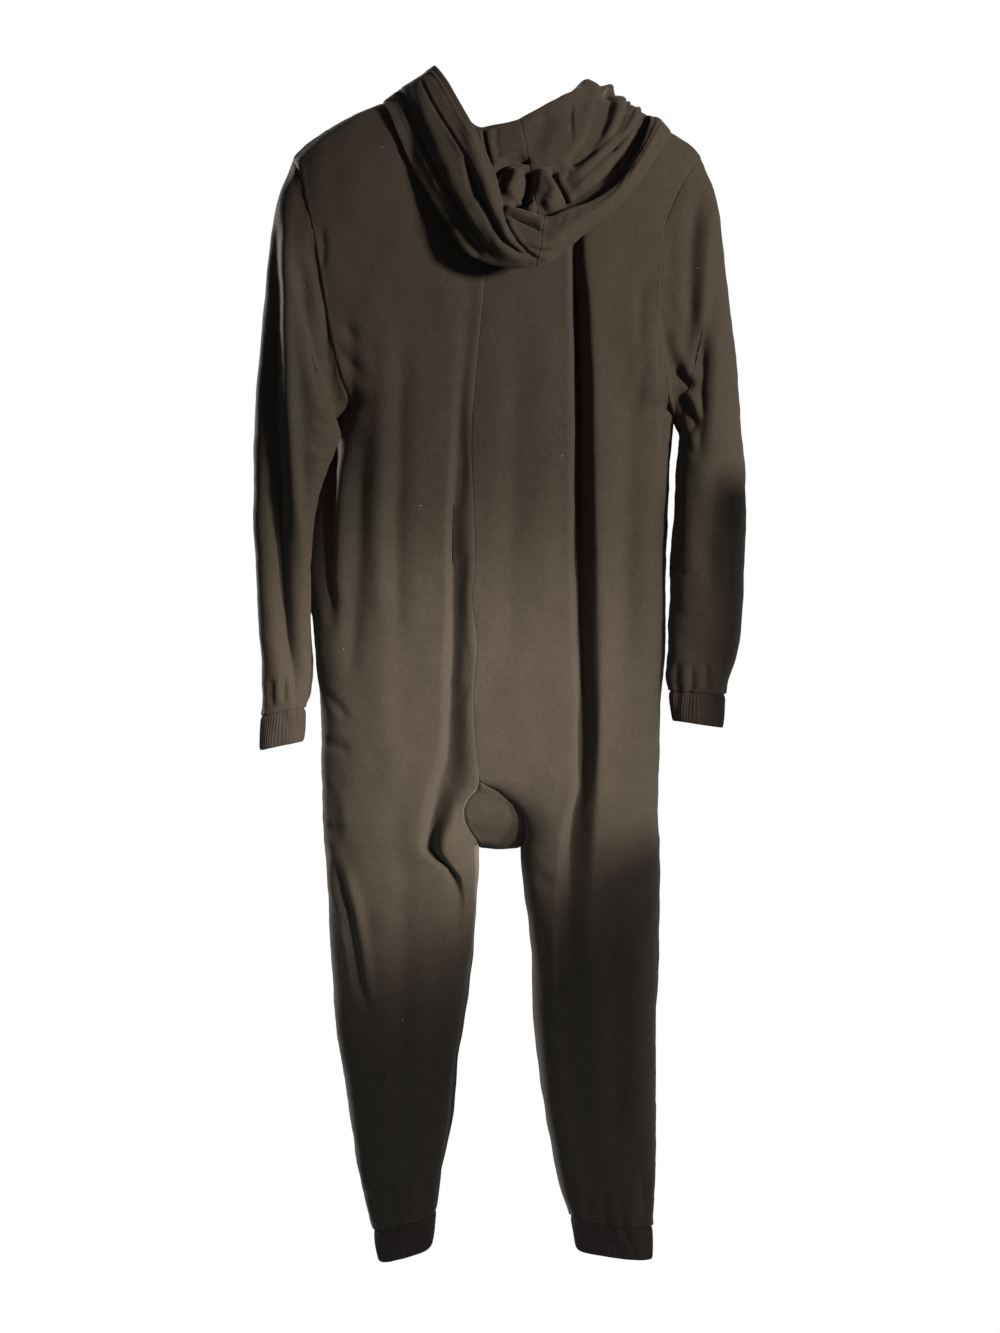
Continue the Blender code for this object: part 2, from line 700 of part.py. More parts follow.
def build_cloth(materials):
    skin = Skin()
    levels = [row[0] for row in SECTIONS]
    legs = [z for z in levels if z >= ANKLE_SEAM]
    cuffs = [z for z in levels if z <= ANKLE_SEAM]
    yokes = {}
    rows = {}
    for panel in FOLD_LINES:
        face, side = panel.split("_")
        yokes[panel] = yoke_rows(panel)
        rows[panel] = {z: lower_row(panel, z) for z in levels}
        flip = panel in ("back_left", "front_right")
        skin.add(panel, yokes[panel] + [rows[panel][z] for z in legs[1:]], flip)
        skin.add("ankle_cuff_" + side, [rows[panel][z] for z in cuffs], flip)
    skin.add("gusset", gusset_rows(rows))
    for side in ("left", "right"):
        rings = sleeve_rings(side, yokes)
        flip = side == "right"
        skin.add("sleeve_" + side, rings[:WRIST_SEAM_RING + 2], flip, closed=True)
        skin.add("wrist_cuff_" + side, rings[WRIST_SEAM_RING + 1:], flip, closed=True)
    profiles, centre = hood_rows({panel: yokes[panel][0] for panel in yokes})
    skin.add("hood_left", profiles[:centre + 1])
    skin.add("hood_right", profiles[centre:])
    skin.weld()
    gaps = {"gusset": GUSSET_GAP, "sleeve_left": ARMHOLE_GAP, "sleeve_right": ARMHOLE_GAP,
            "hood_left": HOOD_GAP, "hood_right": HOOD_GAP}
    for name in skin.names:
        rib = "cuff" in name
        wall, finish = (RIB_WALL, "rib") if rib else (CLOTH_WALL, "fleece")
        cut_piece(skin, name, wall, materials[finish], gaps.get(name, SEAM_GAP))
    return yokes, rows


def bar(points, x_near, x_far, front, back):
    """A bar along a path of (y, z) points, between two x and two offsets in y."""
    corners = []
    for y, z in points:
        corners += [(x_near, y + front, z), (x_far, y + front, z),
                    (x_far, y + back, z), (x_near, y + back, z)]
    faces = [[3, 2, 1, 0]]
    for i in range(len(points) - 1):
        a = 4 * i
        for j in range(4):
            k = (j + 1) % 4
            faces.append([a + j, a + k, a + 4 + k, a + 4 + j])
    last = 4 * (len(points) - 1)
    faces.append([last, last + 1, last + 2, last + 3])
    return corners, faces


def centre_front(rows, yokes, z):
    """The y of the cloth at the zip, at one level."""
    path = [row[0] for row in yokes["front_left"]] + [rows["front_left"][k][0] for k in rows["front_left"]]
    path = sorted((p[2], p[1]) for p in path if p[2] >= GUSSET_TOP)
    return float(np.interp(z, [p[0] for p in path], [p[1] for p in path]))


def slider_plane(rows, yokes):
    return centre_front(rows, yokes, SLIDER_TOP - SLIDER_LENGTH / 2) + TAPE_BEHIND


def build_zip(materials, rows, yokes):
    top = FRONT_NECK[0] - 3
    levels = list(np.linspace(ZIP_BOTTOM + 8, top, ZIP_STEPS + 1))
    behind = [(centre_front(rows, yokes, z) + TAPE_BEHIND, z) for z in levels]
    for side, sign in (("left", 1), ("right", -1)):
        near, far = sign * TAPE_INNER, sign * (TAPE_INNER + TAPE_WIDTH)
        points, faces = bar(behind, min(near, far), max(near, far), -TAPE_WALL / 2, TAPE_WALL / 2)
        new_object("zip_tape_" + side, points, faces, materials["zip_tape"])
    chain_top = SLIDER_TOP - SLIDER_LENGTH * 0.55
    straight = SLIDER_TOP - SLIDER_LENGTH - 3
    plane = slider_plane(rows, yokes)
    run = [p for p in behind if p[1] < straight - 4] + [(plane, straight), (plane, chain_top)]
    points, faces = bar(run, -CHAIN_WIDTH / 2, CHAIN_WIDTH / 2, -CHAIN_WALL / 2, CHAIN_WALL / 2)
    new_object("zip_chain", points, faces, materials["zip_teeth"])


def box_mesh(mesh, low, high):
    made = bmesh.ops.create_cube(mesh, size=1)
    for v in made["verts"]:
        v.co = Vector([low[i] if v.co[i] < 0 else high[i] for i in range(3)])


def union_object(name, boxes, material):
    """Boxes joined into one body."""
    parts = []
    for number, (low, high) in enumerate(boxes):
        mesh = bmesh.new()
        box_mesh(mesh, [c * MM for c in low], [c * MM for c in high])
        bmesh.ops.recalc_face_normals(mesh, faces=mesh.faces)
        data = bpy.data.meshes.new(name)
        mesh.to_mesh(data)
        mesh.free()
        data.materials.append(material)
        part = bpy.data.objects.new(name if number == 0 else f"{name}_cutter_{number}", data)
        bpy.context.scene.collection.objects.link(part)
        parts.append(part)
    for part in parts[1:]:
        part.hide_render = True
        part.display_type = "WIRE"
        joined = parts[0].modifiers.new("join", "BOOLEAN")
        joined.operation = "UNION"
        joined.object = part
    return parts


def build_slider(materials, rows, yokes):
    """The slider holds the top of the chain between two plates; its bridge carries the pull tab."""
    low = SLIDER_TOP - SLIDER_LENGTH
    plane = slider_plane(rows, yokes)
    half_gap = CHAIN_WALL / 2 + CLEARANCE
    face = plane - half_gap - PLATE
    half = SLIDER_WIDTH / 2
    post_low = SLIDER_TOP - SLIDER_LENGTH * 0.5
    middle = SLIDER_TOP - SLIDER_LENGTH / 2
    bridge_face = face - BRIDGE_REACH
    arch_low, arch_high = middle - BRIDGE_LENGTH / 2, middle + BRIDGE_LENGTH / 2
    wide = BRIDGE_WIDTH / 2
    union_object("zip_slider", (
        ((-half, face, low), (half, face + PLATE, SLIDER_TOP)),
        ((-2.5, plane + half_gap, low), (2.5, plane + half_gap + PLATE, SLIDER_TOP)),
        ((-1.2, face + PLATE / 2, post_low), (1.2, plane + half_gap + PLATE / 2, SLIDER_TOP - 1)),
        ((-wide, bridge_face, arch_low), (wide, face + PLATE / 2, arch_low + 1.2)),
        ((-wide, bridge_face, arch_high - 1.2), (wide, face + PLATE / 2, arch_high)),
        ((-wide, bridge_face, arch_low), (wide, bridge_face + BRIDGE_BAR, arch_high)),
    ), materials["zip_metal"])
    pivot_y = bridge_face + BRIDGE_BAR + CLEARANCE + TAB_BAR / 2
    pivot_z = arch_low + 1.2 + CLEARANCE + TAB_BAR / 2
    return pivot_y, pivot_z


def build_tab(materials, pivot_y, pivot_z):
    """The pull tab: a bar under the bridge, two arms beside it and the grip below."""
    half_bar, half_wall = TAB_BAR / 2, TAB_WALL / 2
    arm_in = BRIDGE_WIDTH / 2 + CLEARANCE
    half = TAB_WIDTH / 2
    grip_top = -4.5
    parts = union_object("zip_pull_tab", (
        ((-half, -half_bar, -half_bar), (half, half_bar, half_bar)),
        ((-half, -half_wall, grip_top - 1), (-arm_in, half_wall, half_bar)),
        ((arm_in, -half_wall, grip_top - 1), (half, half_wall, half_bar)),
        ((-half, -half_wall, -TAB_LENGTH), (half, half_wall, grip_top)),
    ), materials["zip_metal"])
    for part in parts:
        part.location = (0, pivot_y * MM, pivot_z * MM)


def main():
    clear_scene()
    materials = make_materials()
    yokes, rows = build_cloth(materials)
    build_zip(materials, rows, yokes)
    pivot_y, pivot_z = build_slider(materials, rows, yokes)
    build_tab(materials, pivot_y, pivot_z)


main()
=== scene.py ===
"""Hooded one-piece fleece pyjama, seen from behind, hanging filled out and empty from its neck."""
import math

import bmesh
import bpy
import numpy as np
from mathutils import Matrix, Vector


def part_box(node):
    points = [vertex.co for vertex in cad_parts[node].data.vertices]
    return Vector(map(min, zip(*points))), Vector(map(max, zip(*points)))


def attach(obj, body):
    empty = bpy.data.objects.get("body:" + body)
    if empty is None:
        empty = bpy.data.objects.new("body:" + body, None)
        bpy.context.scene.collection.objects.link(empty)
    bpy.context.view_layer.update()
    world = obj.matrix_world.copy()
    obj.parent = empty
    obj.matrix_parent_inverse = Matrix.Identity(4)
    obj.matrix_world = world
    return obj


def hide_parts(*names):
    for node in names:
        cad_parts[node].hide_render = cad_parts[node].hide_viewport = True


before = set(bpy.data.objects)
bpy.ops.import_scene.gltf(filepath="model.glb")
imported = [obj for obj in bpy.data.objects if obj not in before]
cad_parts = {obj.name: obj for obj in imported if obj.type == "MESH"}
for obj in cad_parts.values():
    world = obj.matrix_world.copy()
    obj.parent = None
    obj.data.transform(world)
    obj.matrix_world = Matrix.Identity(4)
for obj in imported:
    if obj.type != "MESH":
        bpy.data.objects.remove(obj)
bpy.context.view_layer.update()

# ---------------------------------------------------------------------------------------------
# Studio: plain white air, a warm lamp at the wearer's right raking across the back, a soft pool of
# the same light on the hips, and very little fill, so that the folds are deep. One lamp is in front.
# ---------------------------------------------------------------------------------------------
CAMERA_Y, CAMERA_Z = 2.4, -0.645
VIEW_HEIGHT = 1.493

eye = bpy.data.cameras.new("eye")
eye.lens = 36 * CAMERA_Y / VIEW_HEIGHT
camera = bpy.data.objects.new("camera", eye)
camera.location = (0, CAMERA_Y, CAMERA_Z)
camera.rotation_euler = (math.pi / 2, 0, math.pi)
bpy.context.scene.collection.objects.link(camera)
bpy.context.scene.camera = camera


def lamp(name, place, target, size, watts, colour):
    data = bpy.data.lights.new(name, "AREA")
    data.shape, data.size, data.energy, data.color = "DISK", size, watts, colour
    made = bpy.data.objects.new(name, data)
    made.location = place
    made.rotation_euler = (Vector(target) - Vector(place)).to_track_quat("-Z", "Y").to_euler()
    bpy.context.scene.collection.objects.link(made)


WARM = (1.0, 0.94, 0.85)
lamp("raking lamp", (-2.2, 1.95, -0.06), (0.0, 0.0, -0.30), 0.42, 98, WARM)
POOL_CENTRE = Vector((0.13, 0, -0.75))
pool = bpy.data.lights.new("pool", "SPOT")
pool.energy, pool.color, pool.shadow_soft_size = 330, WARM, 0.08
pool.spot_size, pool.spot_blend = math.radians(13.5), 1.0
pool_lamp = bpy.data.objects.new("pool", pool)
pool_lamp.location = (-1.2, 1.9, -0.1)
pool_lamp.rotation_euler = (POOL_CENTRE - pool_lamp.location).to_track_quat("-Z", "Y").to_euler()
bpy.context.scene.collection.objects.link(pool_lamp)
lamp("low fill", (0.05, 1.9, -1.40), (0.02, 0.0, -1.18), 0.8, 0.55, (0.80, 0.90, 1.0))
bpy.data.lights["low fill"].spread = 0.8
lamp("front lamp", (1.9, -1.9, 0.2), (0.0, 0.0, -0.5), 0.8, 95, (0.98, 0.98, 1.0))

# Two flags keep the raking lamp off the lower legs and off the end of the right sleeve.
FLAG_PLACES = ((-0.42, 0.40, -1.235), (-0.45, -0.238, -0.90))
for number, place in enumerate(FLAG_PLACES):
    bpy.ops.object.select_all(action="DESELECT")
    bpy.ops.mesh.primitive_plane_add(size=1.0, location=place, rotation=(0, math.pi / 2, 0))
    flag = bpy.context.active_object
    flag.name = "flag_%d" % number
    flag.visible_camera = False

world = bpy.data.worlds.new("studio air")
world.use_nodes = True
bpy.context.scene.world = world
air = world.node_tree
seen = air.nodes.new("ShaderNodeLightPath")
shown = air.nodes.new("ShaderNodeBackground")
shown.inputs["Color"].default_value = (1, 1, 1, 1)
blend = air.nodes.new("ShaderNodeMixShader")
fill = air.nodes["Background"]
fill.inputs["Color"].default_value = (0.90, 0.94, 1.0, 1)
fill.inputs["Strength"].default_value = 0.075
air.links.new(seen.outputs["Is Camera Ray"], blend.inputs[0])
air.links.new(fill.outputs[0], blend.inputs[1])
air.links.new(shown.outputs[0], blend.inputs[2])
air.links.new(blend.outputs[0], air.nodes["World Output"].inputs["Surface"])
bpy.context.scene.view_settings.view_transform = "Standard"

# ---------------------------------------------------------------------------------------------
# Back and fronts: four panels of fleece cut from neck and shoulder to ankle, overlocked together
# at the centre back, the sides and the shoulders. They hang in long folds from the shoulders.
# ---------------------------------------------------------------------------------------------
MM = 0.001
FLEECE = 2.2

# Level sections of the filled-out body, in mm: outer and inner edge of each half in x, depth of
# the back and of the front, and how much of the depth is left at the inner edge.
SECTIONS = (
    # z, left out, left in, right in, right out, back, front, edge
    (-366, 178, 30, 30, -194, 62, 60, 1),
    (-405, 181, 31, 31, -190, 63, 60, 1),
    (-460, 193, 29, 29, -187, 65, 61, 1),
    (-530, 203, 27, 27, -185, 66, 62, 1),
    (-570, 205, 30, 30, -184, 66, 62, 1),
    (-620, 205, 25, 25, -183, 66, 62, 1),
    (-680, 200, 29, 29, -180, 64, 60, 1),
    (-735, 199, 26, 26, -177, 61, 59, 1),
    (-768, 198, 23, 23, -176, 60, 58, 1),
    (-779, 197, 27, 4, -176, 60, 58, 0.86),
    (-791, 197, 36, -11, -176, 60, 58, 0.76),
    (-803, 196, 41, -21, -176, 60, 58, 0.66),
    (-815, 196, 40, -27, -177, 60, 57, 0.55),
    (-827, 195, 34, -29, -177, 59, 57, 0.40),
    (-838, 195, 27, -28, -178, 59, 56, 0.22),
    (-846, 194, 24, -24, -178, 58, 56, 0),
    (-870, 193, 24, -26, -178, 57, 55, 0),
    (-905, 191, 26, -30, -178, 56, 54, 0),
    (-960, 188, 31, -35, -176, 54, 52, 0),
    (-1030, 183, 38, -38, -174, 51, 49, 0),
    (-1100, 174, 49, -45, -174, 46, 44, 0),
    (-1170, 163, 57, -56, -173, 40, 38, 0),
    (-1225, 151, 66, -66, -171, 34, 33, 0),
    (-1262, 142, 72, -79, -169, 29, 28, 0),
)
UNDERARM, GUSSET_TOP, INSEAM_TOP, ANKLE_SEAM = -366, -768, -846, -1262
LEG_ROUNDING = (-600, -960)
SEAM_PULL = 0.35
ROUNDNESS = 2.5
ANKLE_TILT = {"left": 0.30, "right": 0.13}
TILT_START = -1140
CENTRE_BACK = ((-72, 0), (-150, 9), (-250, 19), (-366, 30))
FRONT_GUSSET = (
    # z, left, right
    (-768, 0, 0), (-779, 12, -12), (-791, 20, -19), (-803, 25, -23),
    (-815, 27, -25), (-827, 28, -25), (-838, 26, -25), (-846, 24, -24),
)
ZIP_HALF_OPENING, ZIP_BOTTOM = 5.0, -700

# The long folds. Each is a line down the panel with its x and how far it stands out, at each z.
# The number is how many columns of cloth lie between it and the line before.
FOLDS = {
    "back_left": (
        ("seam ridge", 2, ((-60, 13, 0), (-250, 24, 0), (-366, 33, 0), (-530, 30, 0),
                           (-680, 32, 0), (-768, 28, 1), (-790, 38, 3), (-813, 49, 5),
                           (-846, 60, 6), (-860, 53, 5), (-880, 40, 3), (-912, 36, 1),
                           (-1000, 50, 0), (-1130, 66, 0), (-1262, 80, 0))),
        ("valley", 8, ((-60, 26, 0), (-250, 34, -1), (-366, 44, -3), (-420, 47, -5),
                       (-496, 53, -10), (-530, 53, -13), (-600, 52, -15), (-680, 55, -16),
                       (-748, 60, -18), (-775, 68, -20), (-824, 76, -26), (-843, 78, -26),
                       (-856, 68, -21), (-868, 54, -13), (-905, 46, -7), (-950, 50, -3),
                       (-1000, 62, -1), (-1130, 80, 0), (-1262, 92, 0))),
        ("valley edge", 6, ((-60, 45, 0), (-250, 50, 0), (-366, 54, 0), (-409, 55, 1),
                            (-496, 59, 2), (-530, 59, 2), (-595, 58, 2), (-627, 61, 2),
                            (-715, 63, 2), (-748, 68, 3), (-775, 78, 4), (-824, 86, 4),
                            (-843, 88, 4), (-856, 77, 4), (-868, 61, 3), (-905, 53, 2),
                            (-950, 61, 1), (-1000, 86, 0), (-1130, 98, 0), (-1262, 102, 0))),
        ("neck line", 10, ((-2, 78, 0), (-366, 92, 0), (-530, 98, 0), (-768, 112, 0),
                           (-860, 120, 0), (-912, 114, 0), (-1000, 118, 0), (-1130, 118, 0),
                           (-1262, 113, 0))),
    ),
    "back_right": (
        ("lip", 26, ((-60, -62, 0), (-184, -73, 0), (-354, -76, 2), (-518, -76, 3),
                     (-617, -78, 3), (-682, -80, 3), (-770, -79, 3), (-813, -68, 3),
                     (-879, -61, 2), (-966, -57, 1), (-1060, -62, 0), (-1262, -95, 0))),
        ("neck line", 12, ((-2, -81, 0), (-60, -81, 0), (-140, -80, -3), (-184, -80, -13),
                           (-250, -82, -27), (-354, -84, -33), (-518, -85, -36),
                           (-617, -87, -36), (-682, -89, -33), (-770, -89, -29),
                           (-813, -81, -25), (-879, -75, -20), (-966, -73, -14),
                           (-1060, -77, -7), (-1262, -108, -1))),
        ("fold shoulder", 14, ((-60, -100, 0), (-184, -95, 0), (-250, -101, 0), (-354, -105, 1),
                               (-518, -108, 1), (-617, -111, 0), (-682, -111, 0),
                               (-770, -109, 0), (-813, -107, 0), (-879, -103, 0),
                               (-966, -101, 0), (-1060, -106, 0), (-1262, -126, 0))),
        ("side valley", 8, ((-60, -140, 0), (-300, -138, -2), (-400, -140, -5),
                            (-530, -139, -7), (-680, -137, -5), (-768, -136, -2),
                            (-860, -134, 0), (-1262, -146, 0))),
    ),
    "front_left": (
        ("front fold", 12, ((-60, 40, 0), (-250, 44, 2), (-366, 46, 6), (-530, 52, 10),
                            (-680, 58, 13), (-768, 66, 12), (-860, 74, 7), (-1000, 80, 8),
                            (-1130, 88, 5), (-1262, 94, 1))),
        ("neck line", 10, ((-2, 78, 0), (-366, 92, -2), (-530, 100, -6), (-680, 108, -8),
                           (-768, 114, -5), (-860, 122, -2), (-1000, 122, 0), (-1130, 120, 0),
                           (-1262, 114, 0))),
    ),
    "front_right": (
        ("front fold", 12, ((-60, -42, 0), (-250, -50, 3), (-366, -56, 8), (-530, -60, 12),
                            (-680, -62, 14), (-768, -66, 12), (-860, -74, 8), (-1000, -82, 7),
                            (-1130, -92, 4), (-1262, -106, 1))),
        ("neck line", 10, ((-2, -81, 0), (-366, -98, -1), (-530, -106, -5), (-680, -110, -6),
                           (-768, -112, -4), (-860, -118, -2), (-1000, -122, 0),
                           (-1130, -124, 0), (-1262, -130, 0))),
    ),
}
# How far the left side stands out beyond the plain section, behind the hanging sleeve.
SIDE_FULLNESS = ((-366, 0), (-400, 9), (-430, 13), (-460, 16), (-500, 15.5), (-530, 12.5),
                 (-560, 11), (-575, 10), (-590, 5), (-620, 1), (-680, 0))
SIDE_FULLNESS_DEPTH = 13
COLUMNS_PAST_NECK = 44
YOKE_STEPS = 88
GUSSET_ROWS = 27
ROW = 4.0

# Neck, shoulders and armholes.
NECK_POINT = {"left": (78, 0), "right": (-81, -2)}
BACK_NECK, FRONT_NECK = (-72, 48), (-105, -58)
SHOULDER_LINE = {
    "left": ((78, 0), (129, -15), (155, -26), (180, -39), (205, -53), (222, -66), (233, -78)),
    "right": ((-81, -2), (-129, -17), (-160, -31), (-187, -46), (-205, -57), (-218, -68), (-226, -78)),
}
SHOULDER_ROUNDING = 95
ARMHOLE = (
    # z, left x, right x, back y, front y
    (-78, 233, -226, 0, 0), (-92, 225, -214, 22, -20), (-129, 215, -193, 36, -34),
    (-162, 206, -181, 42, -39), (-243, 192, -176, 46, -42), (-285, 185, -178, 46, -42),
    (-331, 173, -184, 41, -38), (-350, 168, -188, 32, -30), (-366, 178, -194, 0, 0),
)

# Creases, laid out on a drawing of the garment from behind. 1.12 mm to a unit, 500 across is the
# middle and 666 down is halfway. Negative is a trough.
BACK_CREASES = (
    # depth, width, path of (across, down)
    (-3.0, 9, ((366, 400), (360, 470), (358, 550), (352, 650), (350, 720))),
    (-9.0, 6, ((338, 424), (330, 470), (328, 520), (328, 575), (334, 640))),
    (-2.2, 8, ((404, 300), (400, 420), (396, 560), (402, 700))),
    (1.8, 12, ((384, 260), (382, 400), (380, 560), (384, 720), (390, 820))),
    (1.2, 12, ((546, 280), (548, 420), (546, 560), (548, 700))),
    (-1.5, 10, ((516, 300), (514, 460), (510, 600), (506, 700))),
    (-3.0, 9, ((629, 330), (631, 450), (628, 560), (624, 700))),
    (-0.8, 5, ((464, 440), (462, 480), (459, 520))),
    (-1.1, 5, ((474, 536), (465, 560), (459, 590), (455, 625))),
    (-1.2, 3.4, ((462, 630), (469, 655), (468, 682), (463, 708))),
    (-5.0, 4.5, ((331, 850), (340, 880), (348, 906), (354, 940), (361, 985), (372, 1022))),
    (3.2, 6, ((341, 852), (350, 884), (358, 910), (364, 945), (371, 990), (380, 1020))),
    (-2.0, 5, ((322, 740), (336, 746), (352, 748))),
    (-1.5, 4, ((322, 690), (338, 704), (350, 722))),
    (-2.4, 6, ((326, 780), (334, 820), (338, 850))),
    (-1.6, 3, ((322, 222), (324, 246), (323, 272))),
    (-2.2, 7, ((345, 300), (352, 350), (352, 400), (344, 440))),
    (-1.8, 5, ((334, 344), (352, 366), (372, 380))),
    (-1.6, 5, ((338, 322), (356, 338), (380, 344))),
    (-2.4, 5, ((664, 300), (660, 340), (664, 380), (668, 420))),
    (2.6, 5, ((672, 300), (672, 330), (676, 356))),
    (-3.0, 4, ((676, 386), (668, 400), (664, 430), (664, 470))),
    (-1.5, 5, ((650, 352), (640, 380), (636, 420))),
    (-1.2, 5, ((648, 262), (640, 300), (640, 350))),
    (-2.0, 8, ((400, 800), (404, 900), (404, 1000), (400, 1120), (400, 1180))),
    (1.6, 10, ((376, 860), (380, 960), (386, 1060), (392, 1160))),
    (-2.2, 7, ((440, 930), (436, 1000), (430, 1080), (424, 1150))),
    (-1.6, 5, ((470, 885), (460, 905), (448, 915))),
    (-1.8, 8, ((556, 980), (566, 1060), (578, 1150), (590, 1200))),
    (-2.4, 9, ((612, 900), (616, 1000), (618, 1100), (620, 1180))),
    (1.6, 9, ((636, 880), (638, 980), (636, 1090), (632, 1180))),
    (-1.8, 5, ((536, 872), (550, 884), (564, 886))),
    (-1.5, 5, ((530, 900), (542, 930), (548, 970))),
    (-2.0, 4, ((362, 1180), (372, 1200), (380, 1222))),
    (-2.2, 4, ((386, 1170), (392, 1196), (396, 1224))),
    (-2.0, 3.5, ((404, 1178), (407, 1200), (409, 1222))),
    (-2.2, 4, ((424, 1168), (424, 1190), (425, 1212))),
    (-2.0, 4, ((584, 1180), (588, 1204), (592, 1230))),
    (-2.2, 4, ((604, 1186), (606, 1208), (608, 1234))),
    (-1.8, 3.5, ((622, 1190), (623, 1212), (624, 1236))),
    (-2.4, 4.5, ((642, 1170), (644, 1196), (646, 1226))),
)
FRONT_CREASES = (
    (-3.5, 9, ((400, 300), (396, 420), (390, 560), (388, 700), (392, 800))),
    (2.0, 11, ((372, 320), (368, 460), (366, 600), (370, 720))),
    (-3.2, 8, ((600, 280), (606, 400), (612, 540), (610, 690))),
    (2.0, 12, ((636, 340), (634, 460), (632, 600), (628, 720))),
    (-2.0, 6, ((470, 560), (460, 600), (456, 650), (462, 700))),
    (-1.8, 5, ((532, 500), (540, 560), (538, 620))),
    (-2.4, 5, ((330, 330), (350, 352), (374, 366))),
    (-2.0, 5, ((664, 326), (648, 346), (628, 360))),
    (-2.6, 6, ((476, 770), (456, 800), (440, 850), (436, 900))),
    (-2.4, 6, ((524, 770), (546, 806), (560, 860), (562, 920))),
    (-2.0, 5, ((470, 806), (450, 826), (424, 836))),
    (-2.0, 5, ((530, 808), (552, 826), (580, 834))),
    (-3.0, 7, ((352, 880), (366, 930), (372, 1000), (380, 1060))),
    (-2.4, 8, ((410, 900), (408, 1000), (406, 1100), (404, 1170))),
    (-3.0, 7, ((640, 900), (632, 960), (630, 1040), (624, 1110))),
    (-2.4, 8, ((590, 910), (592, 1010), (600, 1120), (604, 1190))),
    (-2.0, 4, ((376, 1176), (384, 1200), (388, 1224))),
    (-2.2, 4, ((400, 1172), (402, 1200), (404, 1222))),
    (-2.0, 4, ((424, 1168), (424, 1190), (425, 1212))),
    (-2.0, 4, ((590, 1180), (594, 1206), (596, 1230))),
    (-2.4, 4, ((614, 1186), (616, 1210), (617, 1234))),
    (-2.0, 4, ((638, 1180), (640, 1206), (641, 1230))),
)


def smooth(share):
    share = np.clip(share, 0.0, 1.0)
    return share * share * (3 - 2 * share)


def slopes_of(xs, ys):
    """Slopes at a table's points that never overshoot between them. Points run along axis 0."""
    h = np.diff(xs, axis=0)
    h = np.where(np.abs(h) < 1e-6, 1e-6, h)
    rise = np.diff(ys, axis=0) / h
    slope = np.zeros_like(ys)
    slope[0], slope[-1] = rise[0], rise[-1]
    if len(xs) > 2:
        a, b, ha, hb = rise[:-1], rise[1:], h[:-1], h[1:]
        with np.errstate(divide="ignore", invalid="ignore"):
            mean = (3 * (ha + hb)) / ((2 * hb + ha) / a + (hb + 2 * ha) / b)
        slope[1:-1] = np.where(a * b > 0, mean, 0)
    return slope


def hermite(x0, x1, y0, y1, m0, m1, x):
    h = x1 - x0
    t = (x - x0) / np.where(np.abs(h) < 1e-6, 1e-6, h)
    return (y0 * (1 + 2 * t) * (1 - t) ** 2 + m0 * h * t * (1 - t) ** 2
            + y1 * t * t * (3 - 2 * t) + m1 * h * t * t * (t - 1))


def along(table, column, at):
    """A smooth curve through one column of a table whose first column is the level."""
    rows = sorted(table)
    xs = np.array([row[0] for row in rows], float)
    ys = np.array([row[column] for row in rows], float)
    m = slopes_of(xs, ys)
    at = np.clip(np.asarray(at, float), xs[0], xs[-1])
    i = np.clip(np.searchsorted(xs, at, side="right") - 1, 0, len(xs) - 2)
    return hermite(xs[i], xs[i + 1], ys[i], ys[i + 1], m[i], m[i + 1], at)


def ring_depth(sigma):
    return np.maximum(0.0, 1 - np.minimum(1.0, np.abs(sigma)) ** ROUNDNESS) ** (1 / ROUNDNESS)


def inner_edge(panel, z):
    face, side = panel.split("_")
    sign = 1 if side == "left" else -1
    below = along(SECTIONS, 2 if side == "left" else 3, z)
    if face == "back":
        return np.where(z > UNDERARM, along(CENTRE_BACK, 1, z), below)
    zip_edge = sign * ZIP_HALF_OPENING * smooth((z - ZIP_BOTTOM) / 12)
    gusset = along(FRONT_GUSSET, 1 if side == "left" else 2, z)
    return np.where(z > GUSSET_TOP, zip_edge, np.where(z > INSEAM_TOP, gusset, below))


def outer_edge(panel, z):
    left = panel.endswith("left")
    return np.where(z > UNDERARM, along(ARMHOLE, 1 if left else 2, z),
                    along(SECTIONS, 1 if left else 4, z))


def lay_columns(panel, z):
    """x of every column of cloth at the levels z, and how far its fold stands out there."""
    knots = [inner_edge(panel, z)]
    outs = [np.zeros_like(z)]
    for _, _, rows in FOLDS[panel]:
        knots.append(along(rows, 1, z))
        outs.append(along(rows, 2, z))
    knots.append(outer_edge(panel, z))
    outs.append(np.zeros_like(z))
    knots, outs = np.array(knots), np.array(outs)
    sign = 1 if panel.endswith("left") else -1
    m = slopes_of(sign * knots, outs)
    counts = column_counts(panel)
    x, out = np.zeros_like(z), np.zeros_like(z)
    column = 0
    for k, count in enumerate(counts):
        last = k == len(counts) - 1
        for step in range(count + (1 if last else 0)):
            share = step / count
            if last:
                share = 1 - (1 - share) ** 1.5
            if k == 0 and step in (1, 2) and count > 4:
                share = (0.012, 0.03)[step - 1]
            c = column
            x[:, c] = knots[k][:, c] + (knots[k + 1][:, c] - knots[k][:, c]) * share
            out[:, c] = hermite(sign * knots[k][:, c], sign * knots[k + 1][:, c],
                                outs[k][:, c], outs[k + 1][:, c],
                                m[k][:, c], m[k + 1][:, c], sign * x[:, c])
            column += 1
    return x, out


def column_counts(panel):
    """Columns in each strip between fold lines. Past the neck point every panel has as many."""
    counts = [row[1] for row in FOLDS[panel]]
    names = [row[0] for row in FOLDS[panel]]
    past = sum(counts[names.index("neck line") + 1:])
    return counts + [COLUMNS_PAST_NECK - past]


def neck_column(panel):
    names = [row[0] for row in FOLDS[panel]]
    return sum(row[1] for row in FOLDS[panel][:names.index("neck line") + 1])


